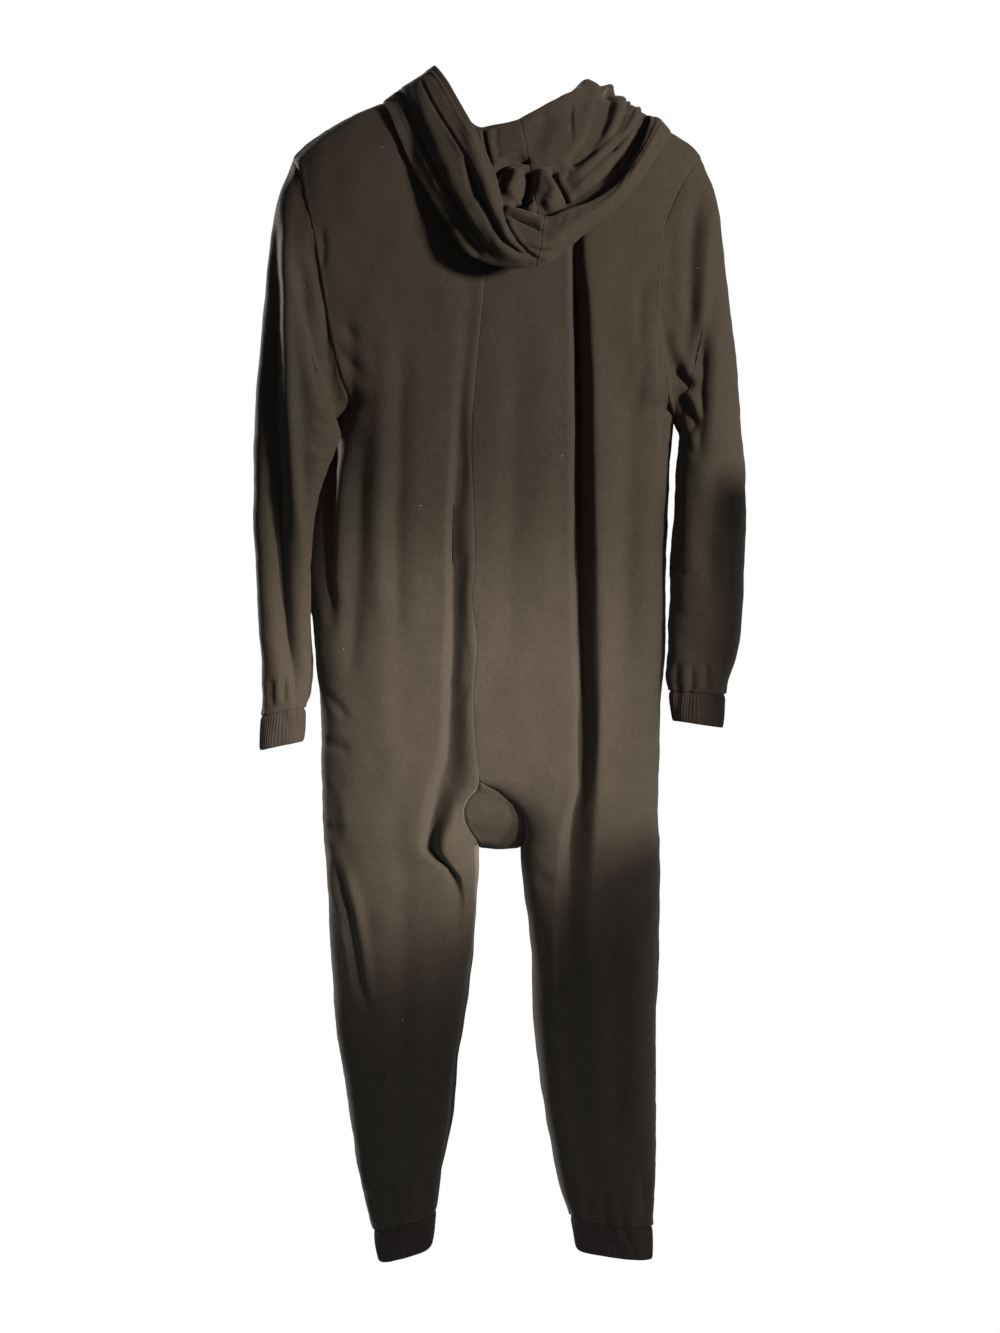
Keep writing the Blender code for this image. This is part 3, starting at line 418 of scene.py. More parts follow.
def body_depth(panel, x, z):
    """Plain depth of the body below the underarm, unsigned."""
    face = panel.split("_")[0]
    z = np.minimum(z, UNDERARM)
    inner, outer = inner_edge(panel, z), outer_edge(panel, z)
    share = np.clip((x - inner) / (outer - inner), 0, 1)
    start, end = LEG_ROUNDING
    halves = 1 + smooth((start - z) / (start - end))
    edge = along(SECTIONS, 7, z)
    side_curve = ring_depth(np.maximum(0.0, 1 - (1 - share) * halves))
    pull = ring_depth(np.maximum(0.0, 1 - share / SEAM_PULL))
    return along(SECTIONS, 5 if face == "back" else 6, z) * side_curve * (edge + (1 - edge) * pull)


def neck_line(panel, x):
    """y and z of the neck seam, then of the shoulder seam, at x."""
    face, side = panel.split("_")
    point_x, point_z = NECK_POINT[side]
    drop, depth = BACK_NECK if face == "back" else FRONT_NECK
    level = np.sqrt(np.clip(1 - (x / point_x) ** 2, 0, 1))
    shoulder = along([(abs(a), b) for a, b in SHOULDER_LINE[side]], 1, np.abs(x))
    on_neck = np.abs(x) < abs(point_x)
    return (np.where(on_neck, depth * level, 0),
            np.where(on_neck, point_z + (drop - point_z) * level ** 1.2, shoulder))


def shoulder_widths(panel):
    """The width of the plain section at each level that brings it to the armhole seam there."""
    face, side = panel.split("_")
    widths = []
    for z, left, right, back, front in ARMHOLE[1:]:
        x, y = abs(left if side == "left" else right), abs(back if face == "back" else front)
        top = float(along([(abs(a), b) for a, b in SHOULDER_LINE[side]], 1, x))
        rounding = min(1, max(0.05, (top - z) / SHOULDER_ROUNDING))
        deep = along(SECTIONS, 5 if face == "back" else 6, UNDERARM)
        deep = deep * math.sqrt(1 - (1 - rounding) ** 2)
        widths.append((z, x / (1 - min(0.98, y / deep) ** ROUNDNESS) ** (1 / ROUNDNESS)))
    return widths


def yoke_depth(panel, x, z):
    """Signed depth of the plain cloth between the shoulder and the underarm."""
    face = panel.split("_")[0]
    start, top = neck_line(panel, x)
    width = along(shoulder_widths(panel), 1, z)
    inner = np.abs(inner_edge(panel, z)) * (1 if panel != "back_right" else -1)
    even = np.abs(x) / width
    cut = (np.abs(x) - inner) / (width - inner)
    sigma = even + (cut - even) * smooth((-230 - z) / (-230 - UNDERARM))
    toward = 1 if face == "back" else -1
    full = toward * float(along(SECTIONS, 5 if face == "back" else 6, UNDERARM)) * ring_depth(sigma)
    rounding = np.clip((top - z) / SHOULDER_ROUNDING, 0, 1)
    return start + (full - start) * np.sqrt(1 - (1 - rounding) ** 2)


def lay_panel(panel):
    """The whole panel as a grid of points, from neck and shoulder to the ankle seam."""
    face, side = panel.split("_")
    toward = 1 if face == "back" else -1
    neck, width = neck_column(panel), sum(column_counts(panel)) + 1
    point_x, point_z = NECK_POINT[side]
    drop, depth = BACK_NECK if face == "back" else FRONT_NECK
    angle = np.linspace(0, math.pi / 2, neck + 1)
    if face == "front":
        angle[0] = math.asin(ZIP_HALF_OPENING / abs(point_x))
    even = np.linspace(0, 1, width - neck)[1:]
    shoulder = [(abs(a), b) for a, b in SHOULDER_LINE[side]]
    tx = np.concatenate([point_x * np.sin(angle),
                         point_x + (SHOULDER_LINE[side][-1][0] - point_x) * even])
    ty = np.concatenate([depth * np.cos(angle), 0 * even])
    tz = np.concatenate([point_z + (drop - point_z) * np.cos(angle) ** 1.2,
                         along(shoulder, 1, np.abs(tx[neck + 1:]))])
    v = np.linspace(0, 1, YOKE_STEPS + 1)[:, None] ** 1.8
    z = tz + (UNDERARM - tz) * v
    fallen = tz - z
    x, out = lay_columns(panel, z)
    x = tx + (x - tx) * smooth(fallen / 90)
    spread = np.clip((np.arange(width) - neck) / (width - 1 - neck), 0, 1)
    miss = along(ARMHOLE, 1 if side == "left" else 2, z[:, -1]) - x[:, -1]
    x = x + miss[:, None] * spread ** 2
    plain = yoke_depth(panel, x, z)
    y = plain + toward * out * smooth(fallen / 60)
    miss = along(ARMHOLE, 3 if face == "back" else 4, z[:, -1]) - y[:, -1]
    y = y + miss[:, None] * spread ** 2
    y[0] = ty
    yoke = np.stack([x, y, z], -1)
    levels = np.concatenate([np.arange(UNDERARM, GUSSET_TOP, -ROW)[1:],
                             np.linspace(GUSSET_TOP, INSEAM_TOP, GUSSET_ROWS),
                             np.arange(INSEAM_TOP, ANKLE_SEAM, -ROW)[1:], [ANKLE_SEAM]])
    z = np.repeat(levels[:, None], width, 1).astype(float)
    x, out = lay_columns(panel, z)
    y = toward * (body_depth(panel, x, z) + out * smooth(np.arange(width)))
    y[:, -1] = 0
    y[:, 0] = np.where(levels > INSEAM_TOP, y[:, 0], 0)
    tilt = ANKLE_TILT[side] * smooth((TILT_START - z) / (TILT_START - ANKLE_SEAM))
    middle = (inner_edge(panel, z) + outer_edge(panel, z)) / 2
    z = z - tilt * (np.abs(x) - np.abs(middle))
    return np.concatenate([yoke, np.stack([x, y, z], -1)])


def lengths(grid, axis):
    """Length along the cloth from the grid's first row or column."""
    step = np.linalg.norm(np.diff(grid, axis=axis), axis=-1)
    total = np.cumsum(step, axis=axis)
    return np.concatenate([np.zeros_like(np.take(total, [0], axis)), total], axis)


def grid_faces(rows, columns, flip, closed=False):
    last = columns if closed else columns - 1
    r, c = np.meshgrid(np.arange(rows - 1), np.arange(last), indexing="ij")
    d = (c + 1) % columns
    quads = np.stack([r * columns + c, (r + 1) * columns + c,
                      (r + 1) * columns + d, r * columns + d], -1).reshape(-1, 4)
    return quads[:, ::-1] if flip else quads


def normals_of(points, quads):
    a, b, c, d = (points[quads[:, i]] for i in range(4))
    face = np.cross(c - a, d - b)
    total = np.zeros_like(points)
    for i in range(4):
        np.add.at(total, quads[:, i], face)
    size = np.linalg.norm(total, axis=1, keepdims=True)
    return total / np.where(size < 1e-12, 1, size)


def drawing(points, perspective=True):
    """Where points fall on the drawing from behind."""
    scale = 1.12 * (1 - points[:, 1] / 2400 if perspective else 1.0)
    return np.stack([500 - points[:, 0] / scale, 666 - (points[:, 2] + 645) / scale], -1)


def crease_height(places, creases, ends=0.3):
    """How far the creases lift each place. Their ends fade, and a trough has a soft rim."""
    total = np.zeros(len(places))
    for depth, width, path in creases:
        path = np.array(path, float)
        low, high = path.min(0) - 4 * width, path.max(0) + 4 * width
        near = np.nonzero(np.all((places > low) & (places < high), axis=1))[0]
        if not len(near):
            continue
        p = places[near]
        best = np.full(len(p), 1e9)
        at = np.zeros(len(p))
        run = np.concatenate([[0], np.cumsum(np.linalg.norm(np.diff(path, axis=0), axis=1))])
        for i in range(len(path) - 1):
            a, d = path[i], path[i + 1] - path[i]
            t = np.clip(((p - a) @ d) / (d @ d), 0, 1)
            gap = np.linalg.norm(p - a - t[:, None] * d, axis=1)
            closer = gap < best
            best = np.where(closer, gap, best)
            at = np.where(closer, (run[i] + t * (run[i + 1] - run[i])) / run[-1], at)
        fade = smooth(at / ends) * smooth((1 - at) / ends)
        s = best / width
        rim = 0.3 if -6 < depth < 0 else 0.1
        total[near] += depth * fade * (np.exp(-s ** 2) - rim * np.exp(-(s - 2.1) ** 2))
    return total


def unevenness(points, size, seed):
    """Gentle unevenness of about the given size, from 24 crossing waves. About -1 to 1."""
    random = np.random.RandomState(seed)
    total = np.zeros(len(points))
    for _ in range(24):
        direction = random.normal(size=3)
        direction /= np.linalg.norm(direction)
        wave = 2 * math.pi / (size * random.uniform(0.7, 1.6))
        total += np.sin(points @ (direction * wave) + random.uniform(0, 2 * math.pi))
    return total / 5.0


def near_seam(distance, seed, along_seam):
    """A seam's groove, the roll beside it and its small puckers."""
    random = np.random.RandomState(seed)
    pucker = sum(np.sin(along_seam * 2 * math.pi / w + random.uniform(0, 6.28)) * a
                 for w, a in ((13, 0.35), (21, 0.4), (34, 0.35), (7.5, 0.2)))
    return (-1.3 * np.exp(-(distance / 1.6) ** 2) + 0.45 * np.exp(-((distance - 5) / 3.2) ** 2)
            + 0.55 * pucker * np.exp(-distance / 9) * (1 - np.exp(-(distance / 3) ** 2)))


def make_shell(name, points, normals, quads, wall, uv, material, body="garment"):
    """A piece of cloth with its wall: outer and inner face and the cut edge round it."""
    count = len(points)
    half = np.broadcast_to(np.asarray(wall, float) / 2, (count,))[:, None]
    both = np.concatenate([points + normals * half, points - normals * half])
    edges = np.concatenate([quads[:, [i, (i + 1) % 4]] for i in range(4)])
    keys = np.sort(edges, axis=1)
    _, first, uses = np.unique(keys[:, 0].astype(np.int64) * count * 4 + keys[:, 1],
                               return_index=True, return_counts=True)
    rim = edges[first[uses == 1]]
    rim = rim[rim[:, 0] != rim[:, 1]]
    rim_quads = np.stack([rim[:, 1], rim[:, 0], rim[:, 0] + count, rim[:, 1] + count], -1)
    faces = np.concatenate([quads, quads[:, ::-1] + count, rim_quads])
    mesh = bpy.data.meshes.new(name)
    mesh.from_pydata((both * MM).tolist(), [], faces.tolist())
    layer = mesh.uv_layers.new(name="cloth")
    loops = np.zeros(len(mesh.loops), np.int32)
    mesh.loops.foreach_get("vertex_index", loops)
    layer.data.foreach_set("uv", (np.concatenate([uv, uv])[loops] * MM).astype(np.float32).ravel())
    mesh.materials.append(material)
    made = bpy.data.objects.new(name, mesh)
    bpy.context.scene.collection.objects.link(made)
    work = bmesh.new()
    work.from_mesh(mesh)
    bmesh.ops.dissolve_degenerate(work, dist=1e-7, edges=work.edges)
    loose = [v for v in work.verts if not v.link_faces]
    bmesh.ops.delete(work, geom=loose, context="VERTS")
    work.to_mesh(mesh)
    work.free()
    mesh.shade_smooth()
    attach(made, body)
    return made


# Fleece: warm charcoal knit with a short brushed nap, faint ribs down the cloth, soft clouding
# where the nap lies differently, and a little pale lint.
def nap_group():
    group = bpy.data.node_groups.new("brushed_nap", "ShaderNodeTree")
    socket = group.interface.new_socket
    socket(name="Place", in_out="INPUT", socket_type="NodeSocketVector")
    socket(name="Thread", in_out="INPUT", socket_type="NodeSocketVector")
    for label, value in (("Tuft Size", 1.0), ("Clouding", 0.3), ("Ribs", 0.2), ("Lint", 1.0)):
        socket(name=label, in_out="INPUT", socket_type="NodeSocketFloat").default_value = value
    socket(name="Base", in_out="INPUT", socket_type="NodeSocketColor")
    socket(name="Colour", in_out="OUTPUT", socket_type="NodeSocketColor")
    socket(name="Height", in_out="OUTPUT", socket_type="NodeSocketFloat")
    n, link = group.nodes, group.links.new
    inp, out = n.new("NodeGroupInput"), n.new("NodeGroupOutput")

    def noise(scale, detail, vector, rough=0.6):
        node = n.new("ShaderNodeTexNoise")
        node.inputs["Scale"].default_value = scale
        node.inputs["Detail"].default_value = detail
        node.inputs["Roughness"].default_value = rough
        link(vector, node.inputs["Vector"])
        return node.outputs["Fac"]

    def math_node(operation, a, b):
        node = n.new("ShaderNodeMath")
        node.operation = operation
        for i, value in enumerate((a, b)):
            if isinstance(value, (int, float)):
                node.inputs[i].default_value = value
            else:
                link(value, node.inputs[i])
        return node.outputs[0]

    sized = n.new("ShaderNodeVectorMath")
    sized.operation = "SCALE"
    link(inp.outputs["Place"], sized.inputs[0])
    link(inp.outputs["Tuft Size"], sized.inputs["Scale"])
    place = sized.outputs[0]
    pile = noise(620, 3, place)
    tufts = noise(170, 2, place)
    patches = noise(38, 3, place)
    clouds = noise(7, 2, place)
    rib = n.new("ShaderNodeTexWave")
    rib.bands_direction = "X"
    rib.inputs["Scale"].default_value = 112
    rib.inputs["Distortion"].default_value = 1.4
    rib.inputs["Detail"].default_value = 2
    rib.inputs["Detail Scale"].default_value = 0.6
    link(inp.outputs["Thread"], rib.inputs["Vector"])
    ribs = math_node("MULTIPLY", rib.outputs["Fac"], inp.outputs["Ribs"])
    fine = math_node("ADD", math_node("MULTIPLY", pile, 0.55), math_node("MULTIPLY", tufts, 0.45))
    soft = math_node("ADD", math_node("MULTIPLY", patches, 0.55), math_node("MULTIPLY", clouds, 0.45))
    soft = math_node("MULTIPLY", math_node("SUBTRACT", soft, 0.5), inp.outputs["Clouding"])
    fine_part = math_node("MULTIPLY", math_node("SUBTRACT", fine, 0.5), 0.9)
    rib_part = math_node("MULTIPLY", math_node("SUBTRACT", rib.outputs["Fac"], 0.5),
                         inp.outputs["Ribs"])
    level = math_node("ADD", math_node("ADD", fine_part, soft), rib_part)
    factor = math_node("ADD", level, 1.0)
    shade = n.new("ShaderNodeVectorMath")
    shade.operation = "SCALE"
    link(inp.outputs["Base"], shade.inputs[0])
    link(factor, shade.inputs["Scale"])
    fluff = n.new("ShaderNodeTexVoronoi")
    fluff.inputs["Scale"].default_value = 46
    link(inp.outputs["Place"], fluff.inputs["Vector"])
    spot = math_node("LESS_THAN", fluff.outputs["Distance"], 0.034)
    parts = n.new("ShaderNodeSeparateColor")
    link(fluff.outputs["Color"], parts.inputs[0])
    chosen = math_node("GREATER_THAN", parts.outputs[0], 0.86)
    lint = math_node("MULTIPLY", math_node("MULTIPLY", spot, chosen), inp.outputs["Lint"])
    mixed = n.new("ShaderNodeMix")
    mixed.data_type = "RGBA"
    link(lint, mixed.inputs["Factor"])
    link(shade.outputs[0], mixed.inputs["A"])
    mixed.inputs["B"].default_value = (0.36, 0.31, 0.27, 1)
    link(mixed.outputs["Result"], out.inputs["Colour"])
    height = math_node("ADD", fine, math_node("MULTIPLY", ribs, 0.35))
    link(math_node("ADD", height, math_node("MULTIPLY", lint, 0.4)), out.inputs["Height"])
    return group


brushed_nap = nap_group()


def cloth_material(name, base, roughness, sheen, tint, clouding, ribs, lint, bump):
    material = bpy.data.materials.new(name)
    material.use_nodes = True
    n, link = material.node_tree.nodes, material.node_tree.links.new
    shader = n["Principled BSDF"]
    shader.inputs["Roughness"].default_value = roughness
    shader.inputs["Specular IOR Level"].default_value = 0.18
    shader.inputs["Sheen Weight"].default_value = sheen
    shader.inputs["Sheen Roughness"].default_value = 0.45
    shader.inputs["Sheen Tint"].default_value = tint
    nap = n.new("ShaderNodeGroup")
    nap.node_tree = brushed_nap
    place, thread = n.new("ShaderNodeTexCoord"), n.new("ShaderNodeUVMap")
    thread.uv_map = "cloth"
    link(place.outputs["Object"], nap.inputs["Place"])
    link(thread.outputs["UV"], nap.inputs["Thread"])
    nap.inputs["Base"].default_value = base
    nap.inputs["Clouding"].default_value = clouding
    nap.inputs["Ribs"].default_value = ribs
    nap.inputs["Lint"].default_value = lint
    raised = n.new("ShaderNodeBump")
    raised.inputs["Strength"].default_value = bump
    raised.inputs["Distance"].default_value = 0.0012
    link(nap.outputs["Colour"], shader.inputs["Base Color"])
    link(nap.outputs["Height"], raised.inputs["Height"])
    link(raised.outputs["Normal"], shader.inputs["Normal"])
    return material


fleece = cloth_material("charcoal_fleece", (0.060, 0.0475, 0.0360, 1), 0.92, 0.16,
                        (1.0, 0.86, 0.75, 1), 0.34, 0.10, 1.0, 0.55)

panels = {panel: lay_panel(panel) for panel in FOLDS}
for panel in ("back_left", "front_left"):
    x, y, z = (panels[panel][..., i] for i in range(3))
    panels[panel][..., 0] = x + (along(SIDE_FULLNESS, 1, z) * smooth((x - 110) / 40)
                                 * np.exp(-(y / SIDE_FULLNESS_DEPTH) ** 2))
quads, offsets, all_points = {}, {}, []
start = 0
for panel, grid in panels.items():
    rows, columns = grid.shape[:2]
    offsets[panel] = start
    quads[panel] = grid_faces(rows, columns, panel in ("back_left", "front_right"))
    all_points.append(grid.reshape(-1, 3))
    start += rows * columns
cloud = np.concatenate(all_points)
_, body_id = np.unique(np.round(cloud / 0.02).astype(np.int64), axis=0, return_inverse=True)
body_id = body_id.ravel()


def shared(values, ids):
    """Averages values over the points that pieces share along a seam."""
    total = np.zeros((ids.max() + 1,) + values.shape[1:])
    np.add.at(total, ids, values)
    many = np.bincount(ids).reshape((-1,) + (1,) * (values.ndim - 1))
    return (total / many)[ids]


def lift_panel(panel, grid):
    """Creases, seams and unevenness of one panel, as a height along the cloth's normal."""
    face, side = panel.split("_")
    flat = grid.reshape(-1, 3)
    across, down = lengths(grid, 1), lengths(grid, 0)
    creases = BACK_CREASES if face == "back" else FRONT_CREASES
    lift = crease_height(drawing(flat, face == "back"), creases)
    lift = lift * smooth(np.abs(flat[:, 1]) / 14 - 0.15)
    lift += 0.9 * unevenness(flat, 95, 3) + 0.35 * unevenness(flat, 30, 5)
    inner, outer = across, across[:, -1:] - across
    seam = near_seam(outer, 11 + len(side), down)
    if face == "back":
        seam = seam + near_seam(inner, 17, down) * 0.2
    else:
        seam = seam + near_seam(inner, 23, down) * 0.6
    seam = seam + np.where(np.arange(grid.shape[1])[None, :] > neck_column(panel) + 2,
                           near_seam(down, 29, across), 0)
    bottom = down[-1:] - down
    seam = seam + 1.0 * np.exp(-(bottom / 5) ** 2) * np.sin(across / 3.4 + 2 * np.sin(across / 11))
    return lift + seam.ravel()


normals = np.zeros_like(cloud)
for panel in panels:
    normals_here = normals_of(cloud, quads[panel] + offsets[panel])
    normals += normals_here
normals = shared(normals, body_id)
normals /= np.maximum(np.linalg.norm(normals, axis=1, keepdims=True), 1e-9)
lift = np.concatenate([lift_panel(panel, grid) for panel, grid in panels.items()])
cloud = shared(cloud + normals * lift[:, None], body_id)
normals = np.zeros_like(cloud)
for panel in panels:
    normals += normals_of(cloud, quads[panel] + offsets[panel])
normals = shared(normals, body_id)
normals /= np.maximum(np.linalg.norm(normals, axis=1, keepdims=True), 1e-9)
panel_normals = {}
for panel, grid in panels.items():
    rows, columns = grid.shape[:2]
    here = slice(offsets[panel], offsets[panel] + rows * columns)
    points = cloud[here]
    panels[panel] = points.reshape(rows, columns, 3)
    panel_normals[panel] = normals[here].reshape(rows, columns, 3)
    uv = np.stack([lengths(grid, 1).ravel(), lengths(grid, 0).ravel()], -1)
    made = make_shell(panel + "_cloth", points, normals[here], quads[panel], FLEECE, uv, fleece)
    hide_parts(panel)

# ---------------------------------------------------------------------------------------------
# Gusset: one piece of the same fleece let in between the legs, from the point of the centre back
# seam under the crotch to the centre front, topstitched on to the panels.
# ---------------------------------------------------------------------------------------------
GUSSET_COLUMNS = 24
first_row = YOKE_STEPS + 1 + len(np.arange(UNDERARM, GUSSET_TOP, -ROW)[1:])
rows_here = slice(first_row, first_row + GUSSET_ROWS)
back_pair = [panels["back_left"][rows_here, 0], panels["back_right"][rows_here, 0]]
front_pair = [panels["front_left"][rows_here, 0], panels["front_right"][rows_here, 0]]
left = np.concatenate([back_pair[0], front_pair[0][-2::-1]])
right = np.concatenate([back_pair[1], front_pair[1][-2::-1]])
share = np.linspace(0, 1, GUSSET_COLUMNS + 1)[None, :, None]
gusset = left[:, None] + (right - left)[:, None] * share
wide = np.linalg.norm(right - left, axis=1)[:, None]
bow = 4 * share[..., 0] * (1 - share[..., 0])
gusset[..., 2] -= 0.05 * wide * bow
rows, columns = gusset.shape[:2]
gusset_quads = grid_faces(rows, columns, False)
flat = gusset.reshape(-1, 3)
gusset_normals = normals_of(flat, gusset_quads)
distance = np.minimum(share[..., 0], 1 - share[..., 0]) * wide
gusset_lift = (0.5 * unevenness(flat, 26, 8) * smooth(distance.ravel() / 8)
               + near_seam(distance, 31, lengths(gusset, 0)).ravel())
flat = flat + gusset_normals * gusset_lift[:, None]
uv = np.stack([lengths(gusset, 1).ravel(), lengths(gusset, 0).ravel()], -1)
made = make_shell("gusset_cloth", flat, gusset_normals, gusset_quads, FLEECE, uv, fleece)
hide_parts("gusset")

# ---------------------------------------------------------------------------------------------
# Sleeves: one piece each, joined along the underarm and set into the low armhole. The cloth
# bunches under the arm and falls in long folds to the wrist.
# ---------------------------------------------------------------------------------------------
SLEEVES = {
    # out x, out z, in x, in z, out y, in y, back, front
    "left": (
        (246, -118, 184, -376, 2, 14, 40, 38),
        (255, -162, 177, -388, 4, 30, 38, 38),
        (261, -213, 182, -402, 6, 36, 36, 37),
        (265, -269, 189, -419, 8, 36, 34, 36),
        (270, -336, 197, -443, 10, 33, 33, 34),
        (273, -403, 205, -473, 10, 27, 32, 32),
        (273, -465, 210, -513, 10, 21, 31, 30),
        (271, -526, 212, -554, 10, 17, 30, 28),
        (268, -588, 212, -596, 11, 14, 28, 26),
        (265, -638, 210, -638, 12, 12, 26, 24),
        (264, -674, 212, -672, 12, 12, 23, 22),
        (265, -699, 218, -690, 12, 12, 21, 19),
    ),
    "right": (
        (-239, -116, -199, -380, 0, 2, 38, 36),
        (-246, -159, -201, -387, 0, 4, 37, 36),
        (-252, -207, -201, -395, 2, 6, 37, 36),
        (-258, -263, -200, -405, 4, 8, 37, 36),
        (-264, -330, -198, -423, 6, 10, 37, 35),
        (-269, -392, -196, -450, 8, 12, 36, 34),
        (-272, -459, -194, -484, 10, 14, 35, 33),
        (-271, -515, -192, -524, 12, 16, 33, 31),
        (-270, -571, -190, -571, 14, 18, 31, 28),
        (-263, -627, -188, -622, 15, 18, 27, 25),
        (-254, -660, -186, -653, 15, 17, 24, 22),
        (-250, -675, -188, -671, 15, 16, 21, 20),
    ),
}
SLEEVE_CREASES = {
    "left": {
        "back": (
            (-9.0, 8, ((274, 170), (272, 250), (272, 340), (273, 430), (278, 500), (285, 560))),
            (-17.0, 10, ((270, 430), (275, 520), (281, 590), (291, 650), (305, 715))),
            (5.0, 6, ((286, 200), (288, 300), (291, 400), (297, 500), (305, 590), (311, 655))),
            (-2.0, 5, ((316, 236), (328, 280), (338, 316))),
            (-1.8, 4, ((306, 232), (316, 270), (326, 310), (334, 350))),
            (-2.2, 5, ((300, 250), (306, 320), (318, 380), (330, 420))),
            (-2.0, 4, ((346, 392), (334, 402), (318, 404))),
            (-2.4, 4, ((342, 418), (328, 424), (312, 420))),
            (-1.8, 4, ((336, 440), (324, 448), (310, 448))),
            (-1.6, 6, ((300, 430), (304, 500), (308, 560))),
            (-1.8, 3, ((272, 676), (272, 694), (273, 708))),
            (-1.8, 3, ((284, 670), (284, 690), (285, 706))),
            (-1.6, 3, ((296, 676), (295, 692), (294, 704))),
        ),
        "front": (
            (-5.0, 7, ((276, 200), (274, 320), (276, 440), (284, 560), (290, 660))),
            (-2.4, 5, ((312, 240), (322, 300), (330, 360))),
            (-2.4, 4, ((342, 410), (326, 420), (310, 418))),
            (-2.0, 5, ((300, 440), (302, 520), (300, 600))),
            (-1.8, 3, ((280, 674), (281, 692), (282, 706))),
            (-1.8, 3, ((293, 672), (293, 690), (292, 704))),
        ),
    },
    "right": {
        "back": (
            (-4.5, 6, ((706, 168), (696, 210), (691, 250), (690, 320), (686, 362))),
            (2.5, 6, ((718, 190), (708, 240), (704, 300), (700, 350))),
            (-5.0, 6, ((705, 316), (702, 370), (699, 430), (698, 470))),
            (3.5, 6, ((676, 322), (677, 350), (688, 368), (700, 380))),
            (-5.5, 5, ((674, 366), (682, 378), (694, 390))),
            (-5.0, 4, ((676, 392), (686, 400), (692, 420), (690, 440))),
            (2.4, 4, ((684, 388), (696, 402), (700, 424))),
            (-2.4, 4, ((678, 420), (686, 436), (690, 456))),
            (-2.6, 9, ((722, 440), (716, 500), (712, 560), (708, 620))),
            (1.8, 8, ((692, 480), (690, 540), (686, 600))),
            (-1.8, 4, ((668, 560), (684, 572), (700, 574))),
            (-1.6, 4, ((670, 610), (690, 616), (708, 610))),
            (-1.8, 3, ((678, 660), (677, 678), (677, 694))),
            (-1.8, 3, ((692, 664), (692, 680), (693, 694))),
            (-1.8, 3, ((706, 660), (707, 678), (708, 692))),
        ),
        "front": (
            (-4.0, 7, ((704, 200), (696, 300), (694, 400), (692, 470))),
            (-2.6, 6, ((716, 430), (712, 520), (706, 620))),
            (-2.4, 4, ((676, 396), (690, 404), (704, 400))),
            (-1.8, 3, ((684, 662), (684, 680), (685, 694))),
            (-1.8, 3, ((700, 662), (700, 680), (701, 692))),
        ),
    },
}
SLEEVE_STEPS = 12


def catmull(control, steps):
    """Rows through the control rows, with the given number of steps between two of them."""
    rows = []
    last = len(control) - 1
    for i in range(last):
        p = [control[min(max(i + k, 0), last)] for k in (-1, 0, 1, 2)]
        for j in range(steps):
            t = j / steps
            rows.append(0.5 * (2 * p[1] + (p[2] - p[0]) * t
                               + (2 * p[0] - 5 * p[1] + 4 * p[2] - p[3]) * t ** 2
                               + (3 * p[1] - p[0] - 3 * p[2] + p[3]) * t ** 3))
    rows.append(control[-1])
    return np.array(rows)


wrist_rings = {}
for side in ("left", "right"):
    back, front = panels["back_" + side], panels["front_" + side]
    armhole = np.concatenate([back[:YOKE_STEPS + 1, -1], front[YOKE_STEPS - 1:0:-1, -1]])
    around = len(armhole)
    angle = 2 * math.pi * np.arange(around) / around
    control = [armhole]
    for out_x, out_z, in_x, in_z, out_y, in_y, deep_back, deep_front in SLEEVES[side]:
        t = (1 + np.cos(angle)) / 2
        swell = np.abs(np.sin(angle)) ** 0.85
        depth = np.where(angle <= math.pi, deep_back * swell, -deep_front * swell)
        control.append(np.stack([in_x + (out_x - in_x) * t, in_y + (out_y - in_y) * t + depth,
                                 in_z + (out_z - in_z) * t], -1))
    grid = catmull(np.array(control), SLEEVE_STEPS)
    rows, columns = grid.shape[:2]
    sleeve_quads = grid_faces(rows, columns, side == "right", closed=True)
    flat = grid.reshape(-1, 3)
    sleeve_normals = normals_of(flat, sleeve_quads)
    down = lengths(grid, 0)
    behind = smooth(sleeve_normals[:, 1] * 1.6 + 0.2)
    ahead = smooth(-sleeve_normals[:, 1] * 1.6 + 0.2)
    creases = SLEEVE_CREASES[side]
    lift = (crease_height(drawing(flat), creases["back"]) * behind
            + crease_height(drawing(flat, False), creases["front"]) * ahead)
    lift += 0.7 * unevenness(flat, 70, 41) + 0.35 * unevenness(flat, 24, 43)
    ring_length = np.cumsum(np.linalg.norm(np.diff(grid, axis=1), axis=2), axis=1)
    ring_length = np.concatenate([np.zeros((rows, 1)), ring_length], 1)
    seam = near_seam(down, 47, ring_length)
    under = np.abs(ring_length - ring_length[:, [around // 2]])
    seam = seam + near_seam(under, 53, down)
    bottom = down[-1:] - down
    gather = np.sin(ring_length / 2.9 + 2 * np.sin(ring_length / 9))
    seam = seam + 0.9 * np.exp(-(bottom / 6) ** 2) * gather
    fade = smooth(down / 6)
    lift = lift * fade.ravel() + seam.ravel()
    flat = flat + sleeve_normals * lift[:, None]
    flat[:around] = armhole
    sleeve_normals = normals_of(flat, sleeve_quads)
    wrist_rings[side] = flat.reshape(rows, columns, 3)[-1]
    uv = np.stack([ring_length.ravel(), down.ravel()], -1)
    made = make_shell("sleeve_" + side + "_cloth", flat, sleeve_normals, sleeve_quads,
                      FLEECE, uv, fleece)
    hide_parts("sleeve_" + side)

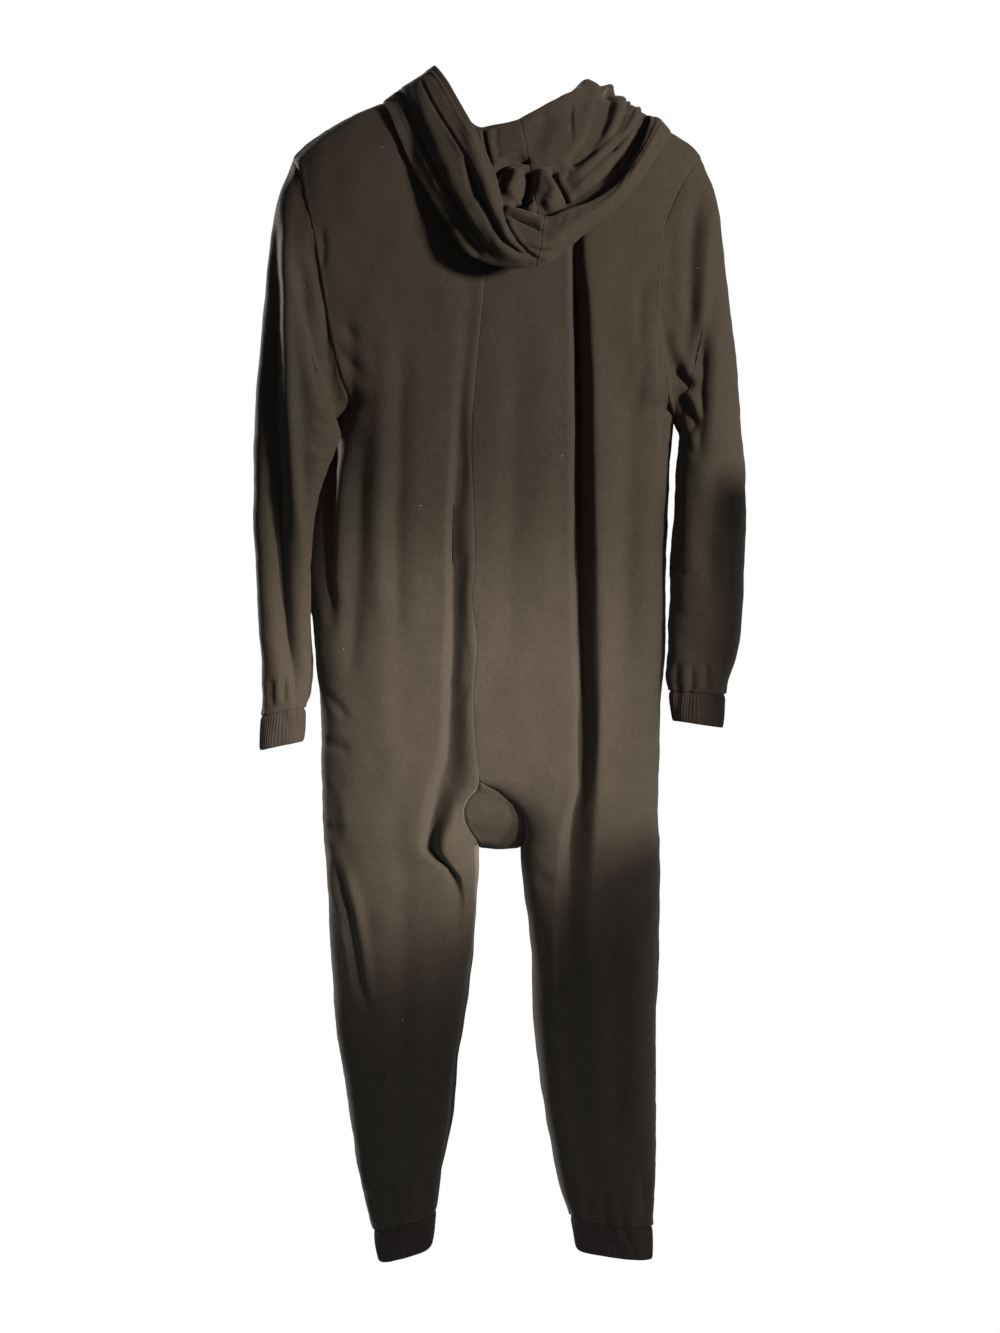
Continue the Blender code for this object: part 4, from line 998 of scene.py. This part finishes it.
# ---------------------------------------------------------------------------------------------
# Cuffs: doubled one-by-one rib, a little shorter round than the cloth, which is eased on to it.
# The seam rolls out above them.
# ---------------------------------------------------------------------------------------------
RIB_WALL = 3.2
RIB_WIDTH = 2.6
RIB_RELIEF = 0.32
POINTS_PER_RIB, CUFF_STEPS = 6, 16
SEAM_PINCH, CUFF_BULGE = 1.6, 0.9     # the cuff drawn in at its seam, and standing out below it
CUFFS = {
    # node: (end centre x, y, z), (half width, half depth), tilt of the end
    "wrist_cuff_left": ((243, 12, -733), (22.5, 18.5), 0.22),
    "wrist_cuff_right": ((-220, 15.5, -709), (26, 18.5), -0.15),
    "ankle_cuff_left": ((106, 0.5, -1300), (28.5, 26.5), 0.28),
    "ankle_cuff_right": ((-128, 0.5, -1300), (41.0, 26.5), -0.13),
}
rib = cloth_material("charcoal_rib", (0.052, 0.040, 0.033, 1), 0.93, 0.12,
                     (1.0, 0.88, 0.78, 1), 0.25, 0.25, 0.6, 0.5)


def resample(ring, count):
    """count points evenly round a closed ring."""
    loop = np.concatenate([ring, ring[:1]])
    run = np.concatenate([[0], np.cumsum(np.linalg.norm(np.diff(loop, axis=0), axis=1))])
    at = np.linspace(0, run[-1], count, endpoint=False)
    return np.stack([np.interp(at, run, loop[:, k]) for k in range(3)], -1)


ankle_rings = {}
for side in ("left", "right"):
    back, front = panels["back_" + side][-1], panels["front_" + side][-1]
    ankle_rings[side] = np.concatenate([back[::-1], front[1:-1]])
for name, (centre, (half_width, half_depth), tilt) in CUFFS.items():
    kind, side = name.split("_cuff_")
    ring = wrist_rings[side] if kind == "wrist" else ankle_rings[side]
    outward = 1 if side == "left" else -1
    ribs = int(round(2 * math.pi * (half_width + half_depth) / 2 / RIB_WIDTH))
    count = ribs * POINTS_PER_RIB
    ring = resample(ring, count)
    middle = ring.mean(0)
    angle = np.arctan2(ring[:, 1] - middle[1], ring[:, 0] - middle[0])
    end = np.stack([centre[0] + half_width * np.sign(np.cos(angle)) * np.abs(np.cos(angle)) ** 0.8,
                    centre[1] + half_depth * np.sign(np.sin(angle)) * np.abs(np.sin(angle)) ** 0.8,
                    np.full(count, float(centre[2]))], -1)
    end[:, 2] -= outward * abs(tilt) * (end[:, 0] - centre[0])
    inset = ring + (middle - ring) * np.array([0.05, 0.05, 0.0])
    grid, plain = [], []
    for i in range(-2, CUFF_STEPS + 1):
        t = i / CUFF_STEPS
        p = inset + (end - inset) * t
        pinch = (-SEAM_PINCH * math.exp(-((t - 0.03) / 0.07) ** 2)
                 + CUFF_BULGE * math.sin(math.pi * min(1, max(0, t))))
        radial = p - (middle + (end.mean(0) - middle) * t)
        radial[:, 2] = 0
        radial /= np.linalg.norm(radial, axis=1, keepdims=True)
        depth = RIB_RELIEF * smooth((t + 0.02) / 0.12) * np.cos(
            np.arange(count) * 2 * math.pi / POINTS_PER_RIB)
        if t > 0.93:
            depth = depth * (1 - smooth((t - 0.93) / 0.07)) - 0.5 * smooth((t - 0.93) / 0.07)
        plain.append(p + radial * pinch)
        grid.append(p + radial * (pinch + depth)[:, None])
    grid, plain = np.array(grid), np.array(plain)
    rows, columns = grid.shape[:2]
    cuff_quads = grid_faces(rows, columns, False, closed=True)
    flat = grid.reshape(-1, 3)
    cuff_normals = normals_of(plain.reshape(-1, 3), cuff_quads)
    outside = flat - flat.mean(0)
    if (cuff_normals[:, :2] * outside[:, :2]).sum() < 0:
        cuff_quads = grid_faces(rows, columns, True, closed=True)
        cuff_normals = -cuff_normals
    flat = flat + cuff_normals * (0.5 * unevenness(flat, 22, 61))[:, None]
    uv = np.stack([np.tile(np.arange(columns) * RIB_WIDTH / 6, rows), lengths(grid, 0).ravel()], -1)
    made = make_shell(name + "_rib", flat, cuff_normals, cuff_quads, RIB_WALL, uv, rib)
    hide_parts(name)
    # The cut is the plain round of the cuff by its length, with the ribs at rest.
    halfway = plain[rows // 2]
    around = MM * np.linalg.norm(halfway - np.roll(halfway, 1, axis=0), axis=1).sum()
    long = MM * lengths(plain, 0)[-1].mean()
    cut = (math.ceil(around * 1000) / 1000, math.ceil(long * 1000) / 1000)

# ---------------------------------------------------------------------------------------------
# Hood: two pieces joined over the crown, sewn into the neck, dropped behind it. It stands up from
# the neck seam, turns over, and its deep end lies in a pouch on the back with the face hem, turned
# under and stitched twice, hanging in a V.
# ---------------------------------------------------------------------------------------------
HOOD = (
    # station: stand top, inside bottom, outer fold, lip, face hem; each x, z, y
    ((6, -84, -57), (10, -100, -67), (14, -120, -72), (12, -108, -78), (11, -98, -80)),
    ((56, -36, -43), (84, -72, -52), (98, -90, -63), (84, -58, -68), (74, -36, -66)),
    ((80, 8, 0), (106, -4, 4), (129, -16, 10), (90, 8, 24), (73, 20, 24)),
    ((56, -20, 32), (84, -70, 60), (98, -95, 61), (50, -71, 90), (29, -63, 86)),
    ((24, -53, 46), (52, -126, 80), (59, -162, 81), (20, -123, 106), (7, -114, 100)),
    ((4, -53, 51), (14, -150, 86), (29, -205, 94), (-5, -178, 116), (-6, -152, 105)),
    ((-22, -47, 53), (-40, -158, 90), (-37, -216, 106), (-43, -196, 119), (-47, -164, 109)),
    ((-48, -31, 50), (-66, -150, 87), (-88, -182, 100), (-79, -172, 113), (-67, -160, 107)),
    ((-72, -16, 42), (-92, -128, 79), (-130, -141, 86), (-121, -141, 101), (-113, -138, 98)),
    ((-91, -4, 27), (-130, -94, 62), (-166, -95, 66), (-152, -98, 84), (-140, -109, 83)),
    ((-96, 9, 2), (-155, -26, 10), (-186, -52, 18), (-176, -40, 28), (-165, -36, 26)),
    ((-57, -32, -43), (-104, -70, -52), (-122, -92, -62), (-112, -70, -72), (-100, -56, -72)),
    ((-6, -84, -57), (-10, -100, -67), (-14, -120, -72), (-12, -108, -78), (-11, -98, -80)),
)
HOOD_CENTRE = 6
HOOD_ROWS = (10, 52, 14, 26, 18)      # rows of cloth to each guide line
HOOD_COLUMNS = 18                     # columns between stations
HOOD_REACH = 0.55                     # how far its curves carry on past a guide line, 1 the most
HEM, HEM_STITCHES = 13.0, (5.5, 11.0)
OUTSIDE_CREASES = (
    (-5.0, 2.6, ((397, 82), (405, 104), (413, 124), (426, 150), (441, 180), (455, 200), (466, 217),
                 (476, 233), (487, 248), (496, 259))),
    (5.0, 8, ((410, 76), (438, 142), (459, 187), (480, 222), (508, 252), (536, 264))),
    (-2.2, 1.4, ((420, 76), (431, 100), (444, 122), (456, 140), (468, 160))),
    (-6.0, 2.8, ((462, 150), (468, 164), (472, 180), (477, 194), (487, 208), (495, 225), (505, 240),
                 (518, 251), (540, 261))),
    (-5.0, 4.5, ((454, 204), (462, 222), (472, 240), (484, 256))),
    (-2.2, 1.6, ((464, 158), (467, 170), (470, 182))),
    (3.5, 5, ((460, 112), (478, 160), (488, 190), (497, 215), (508, 236), (526, 252))),
    (-4.5, 1.9, ((502, 198), (506, 219), (510, 230), (518, 242), (528, 252), (542, 261))),
    (4.0, 3.0, ((503, 205), (518, 212), (533, 218), (548, 227))),
    (-4.5, 2.0, ((504, 212), (516, 218), (528, 223), (543, 231))),
    (-1.2, 2.2, ((558, 223), (566, 218))),
    (-1.2, 2.0, ((572, 217), (579, 212))),
    (-2.0, 3, ((520, 240), (534, 250), (552, 252), (572, 240))),
    (1.8, 5, ((590, 224), (612, 206), (634, 184), (654, 158))),
)
INSIDE_CREASES = (
    (-2.6, 1.6, ((482, 120), (485, 140), (489, 158), (496, 174))),
    (-0.6, 2.6, ((497, 122), (496, 144), (499, 162))),
    (1.6, 3.0, ((490, 122), (491, 144), (496, 162))),
    (-10.0, 6.0, ((610, 78), (603, 108), (595, 136), (583, 155), (564, 167))),
    (6.0, 5.5, ((622, 92), (618, 112), (609, 140), (595, 160), (578, 176), (562, 180))),
    (-3.5, 2.4, ((630, 94), (625, 112), (615, 132), (600, 149), (588, 160))),
    (5.0, 4.5, ((641, 102), (631, 128), (617, 150), (599, 170), (580, 186), (566, 194))),
    (-4.0, 2.4, ((648, 98), (640, 118), (630, 132), (618, 146), (606, 158))),
    (-11.0, 4.4, ((656, 106), (645, 128), (628, 155), (609, 178), (589, 194), (567, 203))),
    (-13.0, 3.2, ((492, 180), (498, 170), (508, 162), (520, 159), (532, 163))),
    (10.0, 7.5, ((520, 170), (517, 178), (512, 188), (508, 198))),
    (-17.0, 5.6, ((528, 168), (529, 180), (526, 192), (519, 201))),
    (-12.0, 3.4, ((512, 203), (523, 204), (534, 202))),
    (9.0, 8.5, ((541, 168), (546, 180), (553, 192), (552, 203), (544, 211))),
    (-9.0, 2.6, ((549, 170), (558, 184), (565, 196), (569, 206))),
    (6.0, 3.4, ((528, 209), (536, 206))),
    (-1.7, 1.3, ((503, 186), (510, 184), (519, 188))),
    (-1.4, 1.2, ((505, 192), (512, 190), (519, 192))),
    (-1.2, 3.0, ((541, 178), (546, 186), (550, 196))),
    (4.0, 3.0, ((558, 178), (567, 172))),
    (-2.0, 8, ((548, 112), (540, 134), (528, 150))),
)

control = np.array([[(x, y, z) for x, z, y in station] for station in HOOD], float)
fine = np.array([catmull(control[:, k], HOOD_COLUMNS) for k in range(5)])  # line, column, xyz
column_count = fine.shape[1]
at_station = np.arange(column_count) / HOOD_COLUMNS
neck_angle = np.interp(at_station, (0, 2, HOOD_CENTRE, 10, 12), (0, 1, 2, 3, 4))
neck = np.zeros((column_count, 3))
for i, a in enumerate(neck_angle):
    side = "left" if a <= 2 else "right"
    point_x, point_z = NECK_POINT[side]
    back = 1 <= a <= 3
    drop, depth = BACK_NECK if back else FRONT_NECK
    turn = {True: (2 - a) if a <= 2 else (a - 2), False: a if a < 1 else (4 - a)}[back] * math.pi / 2
    turn = max(turn, 0 if back else math.asin(ZIP_HALF_OPENING / abs(point_x)))
    neck[i] = (point_x * math.sin(turn), depth * math.cos(turn),
               point_z + (drop - point_z) * math.cos(turn) ** 1.2)
guides = np.concatenate([neck[None], fine])
ends = np.cumsum((0,) + HOOD_ROWS)
rows = ends[-1] + 1
at_row = np.arange(rows)
# Between guide lines the cloth runs along a smooth curve, tight over the folds.
profile = np.zeros((rows, column_count, 3))
for k, count in enumerate(HOOD_ROWS):
    p = [guides[min(max(k + j, 0), 5)] for j in (-1, 0, 1, 2)]
    m0 = (p[2] - p[0]) * 0.5 * HOOD_REACH
    m1 = (p[3] - p[1]) * 0.5 * HOOD_REACH
    for j in range(count + 1):
        t = j / count
        profile[ends[k] + j] = ((2 * t ** 3 - 3 * t ** 2 + 1) * p[1] + (t ** 3 - 2 * t ** 2 + t) * m0
                                + (-2 * t ** 3 + 3 * t ** 2) * p[2] + (t ** 3 - t ** 2) * m1)


# Cloth this thick turns over a fold in a few millimetres and no tighter.
HOOD_SMOOTHINGS = 4
for _ in range(HOOD_SMOOTHINGS):
    profile[1:-1] = 0.25 * profile[:-2] + 0.5 * profile[1:-1] + 0.25 * profile[2:]


def keep_off_back(points, clearance):
    """Moves the hood's points out of the body, straight back or forward."""
    moved = points.copy()
    for panel in FOLDS:
        face, side = panel.split("_")
        mine = ((points[:, 0] > 0) == (side == "left")) & ((points[:, 1] >= 0) == (face == "back"))
        mine &= points[:, 2] < neck_line(panel, points[:, 0])[1] + 1
        x, z = points[mine, 0], points[mine, 2]
        surface = np.abs(yoke_depth(panel, x, z)) + clearance
        sign = 1 if face == "back" else -1
        moved[mine, 1] = sign * np.maximum(np.abs(points[mine, 1]), surface)
    return moved


hood_quads = grid_faces(rows, column_count, False)
flat = profile.reshape(-1, 3)
flat = keep_off_back(flat, 4.0)
hood_normals = normals_of(flat, hood_quads)
layer = np.repeat(at_row, column_count)
inside = smooth((layer - ends[1] - 2) / 5) * (1 - smooth((layer - ends[2] + 3) / 6))
outside = smooth((layer - ends[3] + 1) / 4)
at_back = np.where(flat[:, 1] > -5, 1, 0)
lift = (crease_height(drawing(flat), INSIDE_CREASES, 0.16) * inside * at_back
        + crease_height(drawing(flat), OUTSIDE_CREASES, 0.16) * outside * at_back)
# The inside of the dropped hood faces the camera, so its height runs against the normal there.
facing = np.where(hood_normals[:, 1] >= 0, 1.0, -1.0)
lift = lift * facing
grid = flat.reshape(rows, column_count, 3)
hem = lengths(grid[::-1], 0)[::-1]
across = lengths(grid, 1)
centre_column = HOOD_CENTRE * HOOD_COLUMNS
seam_gap = np.abs(across - across[:, [centre_column]])
lift = lift + (0.6 * unevenness(flat, 48, 71) + 0.3 * unevenness(flat, 18, 73)) * smooth(layer / 6)
lift = lift - 0.25 * np.exp(-(seam_gap.ravel() / 1.6) ** 2)
for from_edge in HEM_STITCHES:
    lift = lift - facing * 0.8 * np.exp(-((hem.ravel() - from_edge) / 1.3) ** 2)
flat = flat + hood_normals * lift[:, None]
flat = keep_off_back(flat, 2.5)
hood_normals = normals_of(flat, hood_quads)
past_hem = hem.ravel() - HEM
wall = (FLEECE + 2.0 * (1 - smooth((past_hem + 1) / 2.0))
        - 1.0 * np.exp(-((past_hem + 2) / 1.2) ** 2))
uv = np.stack([across.ravel(), lengths(grid, 0).ravel()], -1)
grid = flat.reshape(rows, column_count, 3)
index = np.arange(rows * column_count).reshape(rows, column_count)
hood_cut = {"left": slice(0, centre_column + 1), "right": slice(centre_column, column_count)}
for side, cut in hood_cut.items():
    keep = index[:, cut].ravel()
    width = index[:, cut].shape[1]
    side_quads = grid_faces(rows, width, False)
    made = make_shell("hood_" + side + "_cloth", flat[keep], hood_normals[keep], side_quads,
                      wall[keep], uv[keep], fleece)
    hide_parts("hood_" + side)


def plain_material(name, colour, roughness, metallic, grain, bump):
    """A smooth finish with a fine procedural grain in its shade and its surface."""
    material = bpy.data.materials.new(name)
    material.use_nodes = True
    n, link = material.node_tree.nodes, material.node_tree.links.new
    shader = n["Principled BSDF"]
    shader.inputs["Metallic"].default_value = metallic
    place, noise, ramp = (n.new("ShaderNode" + kind) for kind in ("TexCoord", "TexNoise", "ValToRGB"))
    noise.inputs["Scale"].default_value = grain
    noise.inputs["Detail"].default_value = 3
    link(place.outputs["Object"], noise.inputs["Vector"])
    link(noise.outputs["Fac"], ramp.inputs["Fac"])
    ramp.color_ramp.elements[0].position = 0.3
    ramp.color_ramp.elements[0].color = tuple(c * 0.8 for c in colour) + (1,)
    ramp.color_ramp.elements[1].position = 0.7
    ramp.color_ramp.elements[1].color = tuple(c * 1.2 for c in colour) + (1,)
    link(ramp.outputs["Color"], shader.inputs["Base Color"])
    shader.inputs["Roughness"].default_value = roughness
    raised = n.new("ShaderNodeBump")
    raised.inputs["Strength"].default_value = bump
    raised.inputs["Distance"].default_value = 0.0003
    link(noise.outputs["Fac"], raised.inputs["Height"])
    link(raised.outputs["Normal"], shader.inputs["Normal"])
    return material


def mesh_of(name, points, faces, material, body="garment"):
    mesh = bpy.data.meshes.new(name)
    mesh.from_pydata((np.asarray(points) * MM).tolist(), [], [list(map(int, f)) for f in faces])
    mesh.materials.append(material)
    mesh.shade_smooth()
    made = bpy.data.objects.new(name, mesh)
    bpy.context.scene.collection.objects.link(made)
    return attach(made, body) or made


def stitches(name, path, out, pitch, length, thick, material):
    """A row of stitches on the cloth along a path, each sunk into it at both ends."""
    run = np.concatenate([[0], np.cumsum(np.linalg.norm(np.diff(path, axis=0), axis=1))])
    at = np.arange(pitch, run[-1] - pitch, pitch)
    middle, ahead, up = (np.stack([np.interp(a, run, v[:, i]) for i in range(3)], -1)
                         for a, v in ((at, path), (at + 0.6, path), (at, out)))
    way = ahead - middle
    way /= np.linalg.norm(way, axis=1, keepdims=True)
    up = up - way * (up * way).sum(1, keepdims=True)
    up /= np.linalg.norm(up, axis=1, keepdims=True)
    side = np.cross(way, up)
    points = [middle - way * length / 2 - up * thick]
    for share in (-0.28, 0.28):
        for turn in range(4):
            a = math.pi / 4 + turn * math.pi / 2
            points.append(middle + way * length * share
                          + (up * math.sin(a) + side * math.cos(a)) * thick)
    points.append(middle + way * length / 2 - up * thick)
    points = np.stack(points, 1).reshape(-1, 3)
    one = ([(0, 1 + (i + 1) % 4, 1 + i) for i in range(4)]
           + [(1 + i, 1 + (i + 1) % 4, 5 + (i + 1) % 4, 5 + i) for i in range(4)]
           + [(9, 5 + i, 5 + (i + 1) % 4) for i in range(4)])
    faces = [tuple(10 * k + v for v in face) for k in range(len(middle)) for face in one]
    made = mesh_of(name, points, faces, material)
    bpy.ops.object.select_all(action="DESELECT")
    made.select_set(True)
    bpy.context.view_layer.objects.active = made
    bpy.ops.object.mode_set(mode="EDIT")
    bpy.ops.mesh.select_all(action="SELECT")
    bpy.ops.mesh.normals_make_consistent(inside=False)
    bpy.ops.object.mode_set(mode="OBJECT")
    return made


STITCH_PROUD = 0.05                   # the stitches' middle line above the cloth
thread = plain_material("charcoal_thread", (0.052, 0.041, 0.034), 0.6, 0.0, 900, 0.2)
grid_here, normals_here = (v.reshape(rows, column_count, 3) for v in (flat, hood_normals))
wall_here = wall.reshape(rows, column_count)
for number, from_edge in enumerate(HEM_STITCHES):
    for way in (1, -1):
        line, out = (np.array([[np.interp(from_edge, hem[::-1, c], v[::-1, c, i]) for i in range(3)]
                               for c in range(2, column_count - 2)])
                     for v in (grid_here, normals_here))
        half = np.array([np.interp(from_edge, hem[::-1, c], wall_here[::-1, c])
                         for c in range(2, column_count - 2)])[:, None] / 2
        stitches("hem_stitches_%d_%s" % (number, "out" if way > 0 else "in"),
                 line + out * way * (half + STITCH_PROUD), out * way, 3.0, 2.3, 0.26, thread)

# ---------------------------------------------------------------------------------------------
# Front zip: a nylon coil on two woven tapes sewn in behind the edges of the fronts. A lacquered
# die-cast slider sits at the top of the coil, and its pull tab hangs in the slider's bridge.
# ---------------------------------------------------------------------------------------------
TAPE_ACROSS = (3.1, 3.5, 4.1, 4.8, 7.5, 11.0, 14.1)
TAPE_BEHIND = 3.0
COIL_PITCH, COIL_THICK = 1.5, 0.62
# Each turn of the coil: how far along it a ring of points lies, and the ring's size.
COIL_RINGS = ((0.0, 0.35), (0.08, 0.8), (0.3, 1.0), (0.7, 1.0), (0.92, 0.8), (1.0, 0.35))
TOPSTITCH = 6.0                       # from the edge of each front
SLIDER_OUTLINE = ((-3.3, -128), (3.3, -128), (4.3, -121), (3.9, -116), (-3.9, -116), (-4.3, -121))
TAB_OUTLINE = ((-3.5, 0.65), (3.5, 0.65), (3.5, -30), (-3.5, -30))
TAB_WINDOW = ((-1.35, -0.65), (1.35, -0.65), (1.35, -4.5), (-1.35, -4.5))
TAB_PIVOT = (0, -61.23, -123.8)
SLIDER_PLANE = -56.08

zip_tape = cloth_material("zip_tape_weave", (0.030, 0.026, 0.024, 1), 0.8, 0.05,
                          (1, 0.95, 0.9, 1), 0.06, 0.7, 0.0, 0.35)
zip_teeth = plain_material("zip_coil", (0.022, 0.020, 0.019), 0.38, 0.0, 500, 0.15)
zip_metal = plain_material("lacquered_metal", (0.055, 0.052, 0.050), 0.33, 1.0, 700, 0.12)

edge = panels["front_left"][:, 0]
edge = edge[edge[:, 2] > ZIP_BOTTOM - 30]
edge = edge[np.argsort(edge[:, 2])]
window = np.ones(15) / 15
edge_depth = np.convolve(np.pad(edge[:, 1], 7, mode="edge"), window, mode="valid")


def zip_depth(z):
    return np.interp(z, edge[:, 2], edge_depth) + TAPE_BEHIND


low, high = (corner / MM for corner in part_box("zip_tape_left"))
levels = np.linspace(high.z, low.z, 150)
for side in ("left", "right"):
    sign = 1 if side == "left" else -1
    grid = np.zeros((len(levels), len(TAPE_ACROSS), 3))
    grid[..., 0] = sign * np.array(TAPE_ACROSS)
    grid[..., 1] = zip_depth(levels)[:, None]
    grid[..., 2] = levels[:, None]
    points = grid.reshape(-1, 3)
    tape_quads = grid_faces(len(levels), len(TAPE_ACROSS), side == "right")
    tape_normals = normals_of(points, tape_quads)
    cord = np.tile(np.interp(TAPE_ACROSS, (3.1, 3.5, 4.1, 4.8), (0.5, 0.9, 0.9, 0)), len(levels))
    uv = np.stack([points[:, 2], points[:, 0]], -1)
    made = make_shell("zip_tape_" + side + "_weave", points, tape_normals, tape_quads,
                      0.9 + cord, uv, zip_tape)
    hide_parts("zip_tape_" + side)
    # The tape is held by a row of topstitching on the front.
    panel = "front_" + side
    down = panels[panel][:, 0, 2]
    line, out = [], []
    for r in np.nonzero((down > ZIP_BOTTOM) & (down < -112))[0]:
        steps = np.linalg.norm(np.diff(panels[panel][r], axis=0), axis=1)
        run = np.concatenate([[0], np.cumsum(steps)])
        line.append([np.interp(TOPSTITCH, run, panels[panel][r, :, i]) for i in range(3)])
        out.append([np.interp(TOPSTITCH, run, panel_normals[panel][r, :, i]) for i in range(3)])
    line, out = np.array(line), np.array(out)
    stitches("zip_stitches_" + side, line + out * (FLEECE / 2 + STITCH_PROUD), out,
             3.2, 2.5, 0.28, thread)

low, high = (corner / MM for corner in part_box("zip_chain"))
points, faces = [], []
for k, z in enumerate(np.arange(high.z - 0.8, low.z + 0.8, -COIL_PITCH / 2)):
    sign = 1 if k % 2 else -1
    y = float(zip_depth(z))
    first = len(points)
    for share, size in COIL_RINGS:
        x = sign * (2.6 - 3.5 * share)
        for turn in range(6):
            a = turn * math.pi / 3
            points.append((x, y + 0.75 * size * math.cos(a) - 0.25 * math.sin(math.pi * share),
                           z + COIL_THICK * size * math.sin(a)))
    for ring in range(len(COIL_RINGS) - 1):
        for turn in range(6):
            a, b = first + 6 * ring + turn, first + 6 * ring + (turn + 1) % 6
            face = (a, b, b + 6, a + 6)
            faces.append(face if sign < 0 else face[::-1])
    near_cap, far_cap = (tuple(first + 6 * ring + i for i in range(6))
                         for ring in (0, len(COIL_RINGS) - 1))
    faces.append(near_cap[::-1] if sign < 0 else near_cap)
    faces.append(far_cap if sign < 0 else far_cap[::-1])
made = mesh_of("zip_coil_teeth", points, faces, zip_teeth)
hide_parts("zip_chain")


def outline_of(corners, radius):
    """The outline with its corners rounded."""
    made = []
    count = len(corners)
    for i in range(count):
        before, here, after = (np.array(corners[(i + k) % count], float) for k in (-1, 0, 1))
        a, b = (v / np.linalg.norm(v) for v in (before - here, after - here))
        for t in np.linspace(0, 1, 6):
            made.append((1 - t) ** 2 * (here + a * radius) + 2 * t * (1 - t) * here
                        + t ** 2 * (here + b * radius))
    return made


def slab(name, outlines, radii, y, thick, edge_round, origin=(0, 0, 0)):
    """A plate with rounded edges, cut to an outline in x and z, with the other outlines as holes."""
    curve = bpy.data.curves.new(name, "CURVE")
    curve.dimensions = "2D"
    curve.fill_mode = "BOTH"
    for corners, radius in zip(outlines, radii):
        outline = outline_of(corners, radius)
        spline = curve.splines.new("POLY")
        spline.points.add(len(outline) - 1)
        for point, (x, z) in zip(spline.points, outline):
            point.co = (x * MM, z * MM, 0, 1)
        spline.use_cyclic_u = True
    curve.extrude = (thick / 2 - edge_round) * MM
    curve.bevel_depth = edge_round * MM
    curve.bevel_resolution = 2
    curve.offset = -edge_round * MM
    made = bpy.data.objects.new(name, curve)
    bpy.context.scene.collection.objects.link(made)
    made.rotation_euler = (math.pi / 2, 0, 0)
    made.location = (origin[0] * MM, (origin[1] + y) * MM, origin[2] * MM)
    return to_mesh(made)


def to_mesh(made):
    """Turns a curve into a mesh at the origin, with flat plates and smooth edges."""
    bpy.ops.object.select_all(action="DESELECT")
    made.select_set(True)
    bpy.context.view_layer.objects.active = made
    bpy.ops.object.convert(target="MESH")
    made = bpy.context.active_object
    bpy.ops.object.transform_apply(location=True, rotation=True, scale=True)
    bpy.ops.object.mode_set(mode="EDIT")
    bpy.ops.mesh.select_all(action="SELECT")
    bpy.ops.mesh.remove_doubles(threshold=0.000005)
    bpy.ops.mesh.normals_make_consistent(inside=False)
    bpy.ops.object.mode_set(mode="OBJECT")
    bpy.ops.object.shade_smooth_by_angle(angle=math.radians(40))
    return made


def joined(parts, name, material):
    bpy.ops.object.select_all(action="DESELECT")
    for part in parts:
        part.select_set(True)
    bpy.context.view_layer.objects.active = parts[0]
    if len(parts) > 1:
        bpy.ops.object.join()
    made = bpy.context.active_object
    made.name = name
    made.data.name = name
    made.data.materials.clear()
    made.data.materials.append(material)
    return made


half_gap = 1.2 + 0.35
face = SLIDER_PLANE - half_gap - 1.2
parts = [slab("plate", (SLIDER_OUTLINE,), (1.3,), face + 0.6, 1.2, 0.3),
         slab("back plate", (((-2.5, -127.5), (2.5, -127.5), (2.5, -116.5), (-2.5, -116.5)),), (0.9,),
              SLIDER_PLANE + half_gap + 0.6, 1.1, 0.25),
         slab("post", (((-1.1, -121.5), (1.1, -121.5), (1.1, -117), (-1.1, -117)),), (0.4,),
              SLIDER_PLANE, 2 * half_gap + 0.8, 0.1)]
bridge = bpy.data.curves.new("bridge", "CURVE")
bridge.dimensions = "3D"
bridge.bevel_depth = 0.5 * MM
bridge.bevel_resolution = 3
bridge.use_fill_caps = True
spline = bridge.splines.new("POLY")
top_y = face - 4.4 + 0.5
arch = [(face + 0.5, -118.6), (top_y + 1.0, -118.6), (top_y + 0.3, -118.9), (top_y, -119.6),
        (top_y, -124.4), (top_y + 0.3, -125.1), (top_y + 1.0, -125.4), (face + 0.5, -125.4)]
spline.points.add(len(arch) - 1)
for point, (y, z) in zip(spline.points, arch):
    point.co = (0, y * MM, z * MM, 1)
bridge_object = bpy.data.objects.new("bridge", bridge)
bpy.context.scene.collection.objects.link(bridge_object)
parts.append(to_mesh(bridge_object))
made = joined(parts, "zip_slider_body", zip_metal)
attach(made, "garment")
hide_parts("zip_slider")

parts = [slab("tab", (TAB_OUTLINE, TAB_WINDOW), (1.6, 0.5), 0, 1.4, 0.3, TAB_PIVOT)]
for z in (-20, -22.5, -25):
    ridge = ((-2.2, z - 0.35), (2.2, z - 0.35), (2.2, z + 0.35), (-2.2, z + 0.35))
    parts.append(slab("ridge", (ridge,), (0.3,), 0, 1.8, 0.15, TAB_PIVOT))
made = joined(parts, "zip_pull_tab_body", zip_metal)
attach(made, "pull_tab")
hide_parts("zip_pull_tab")
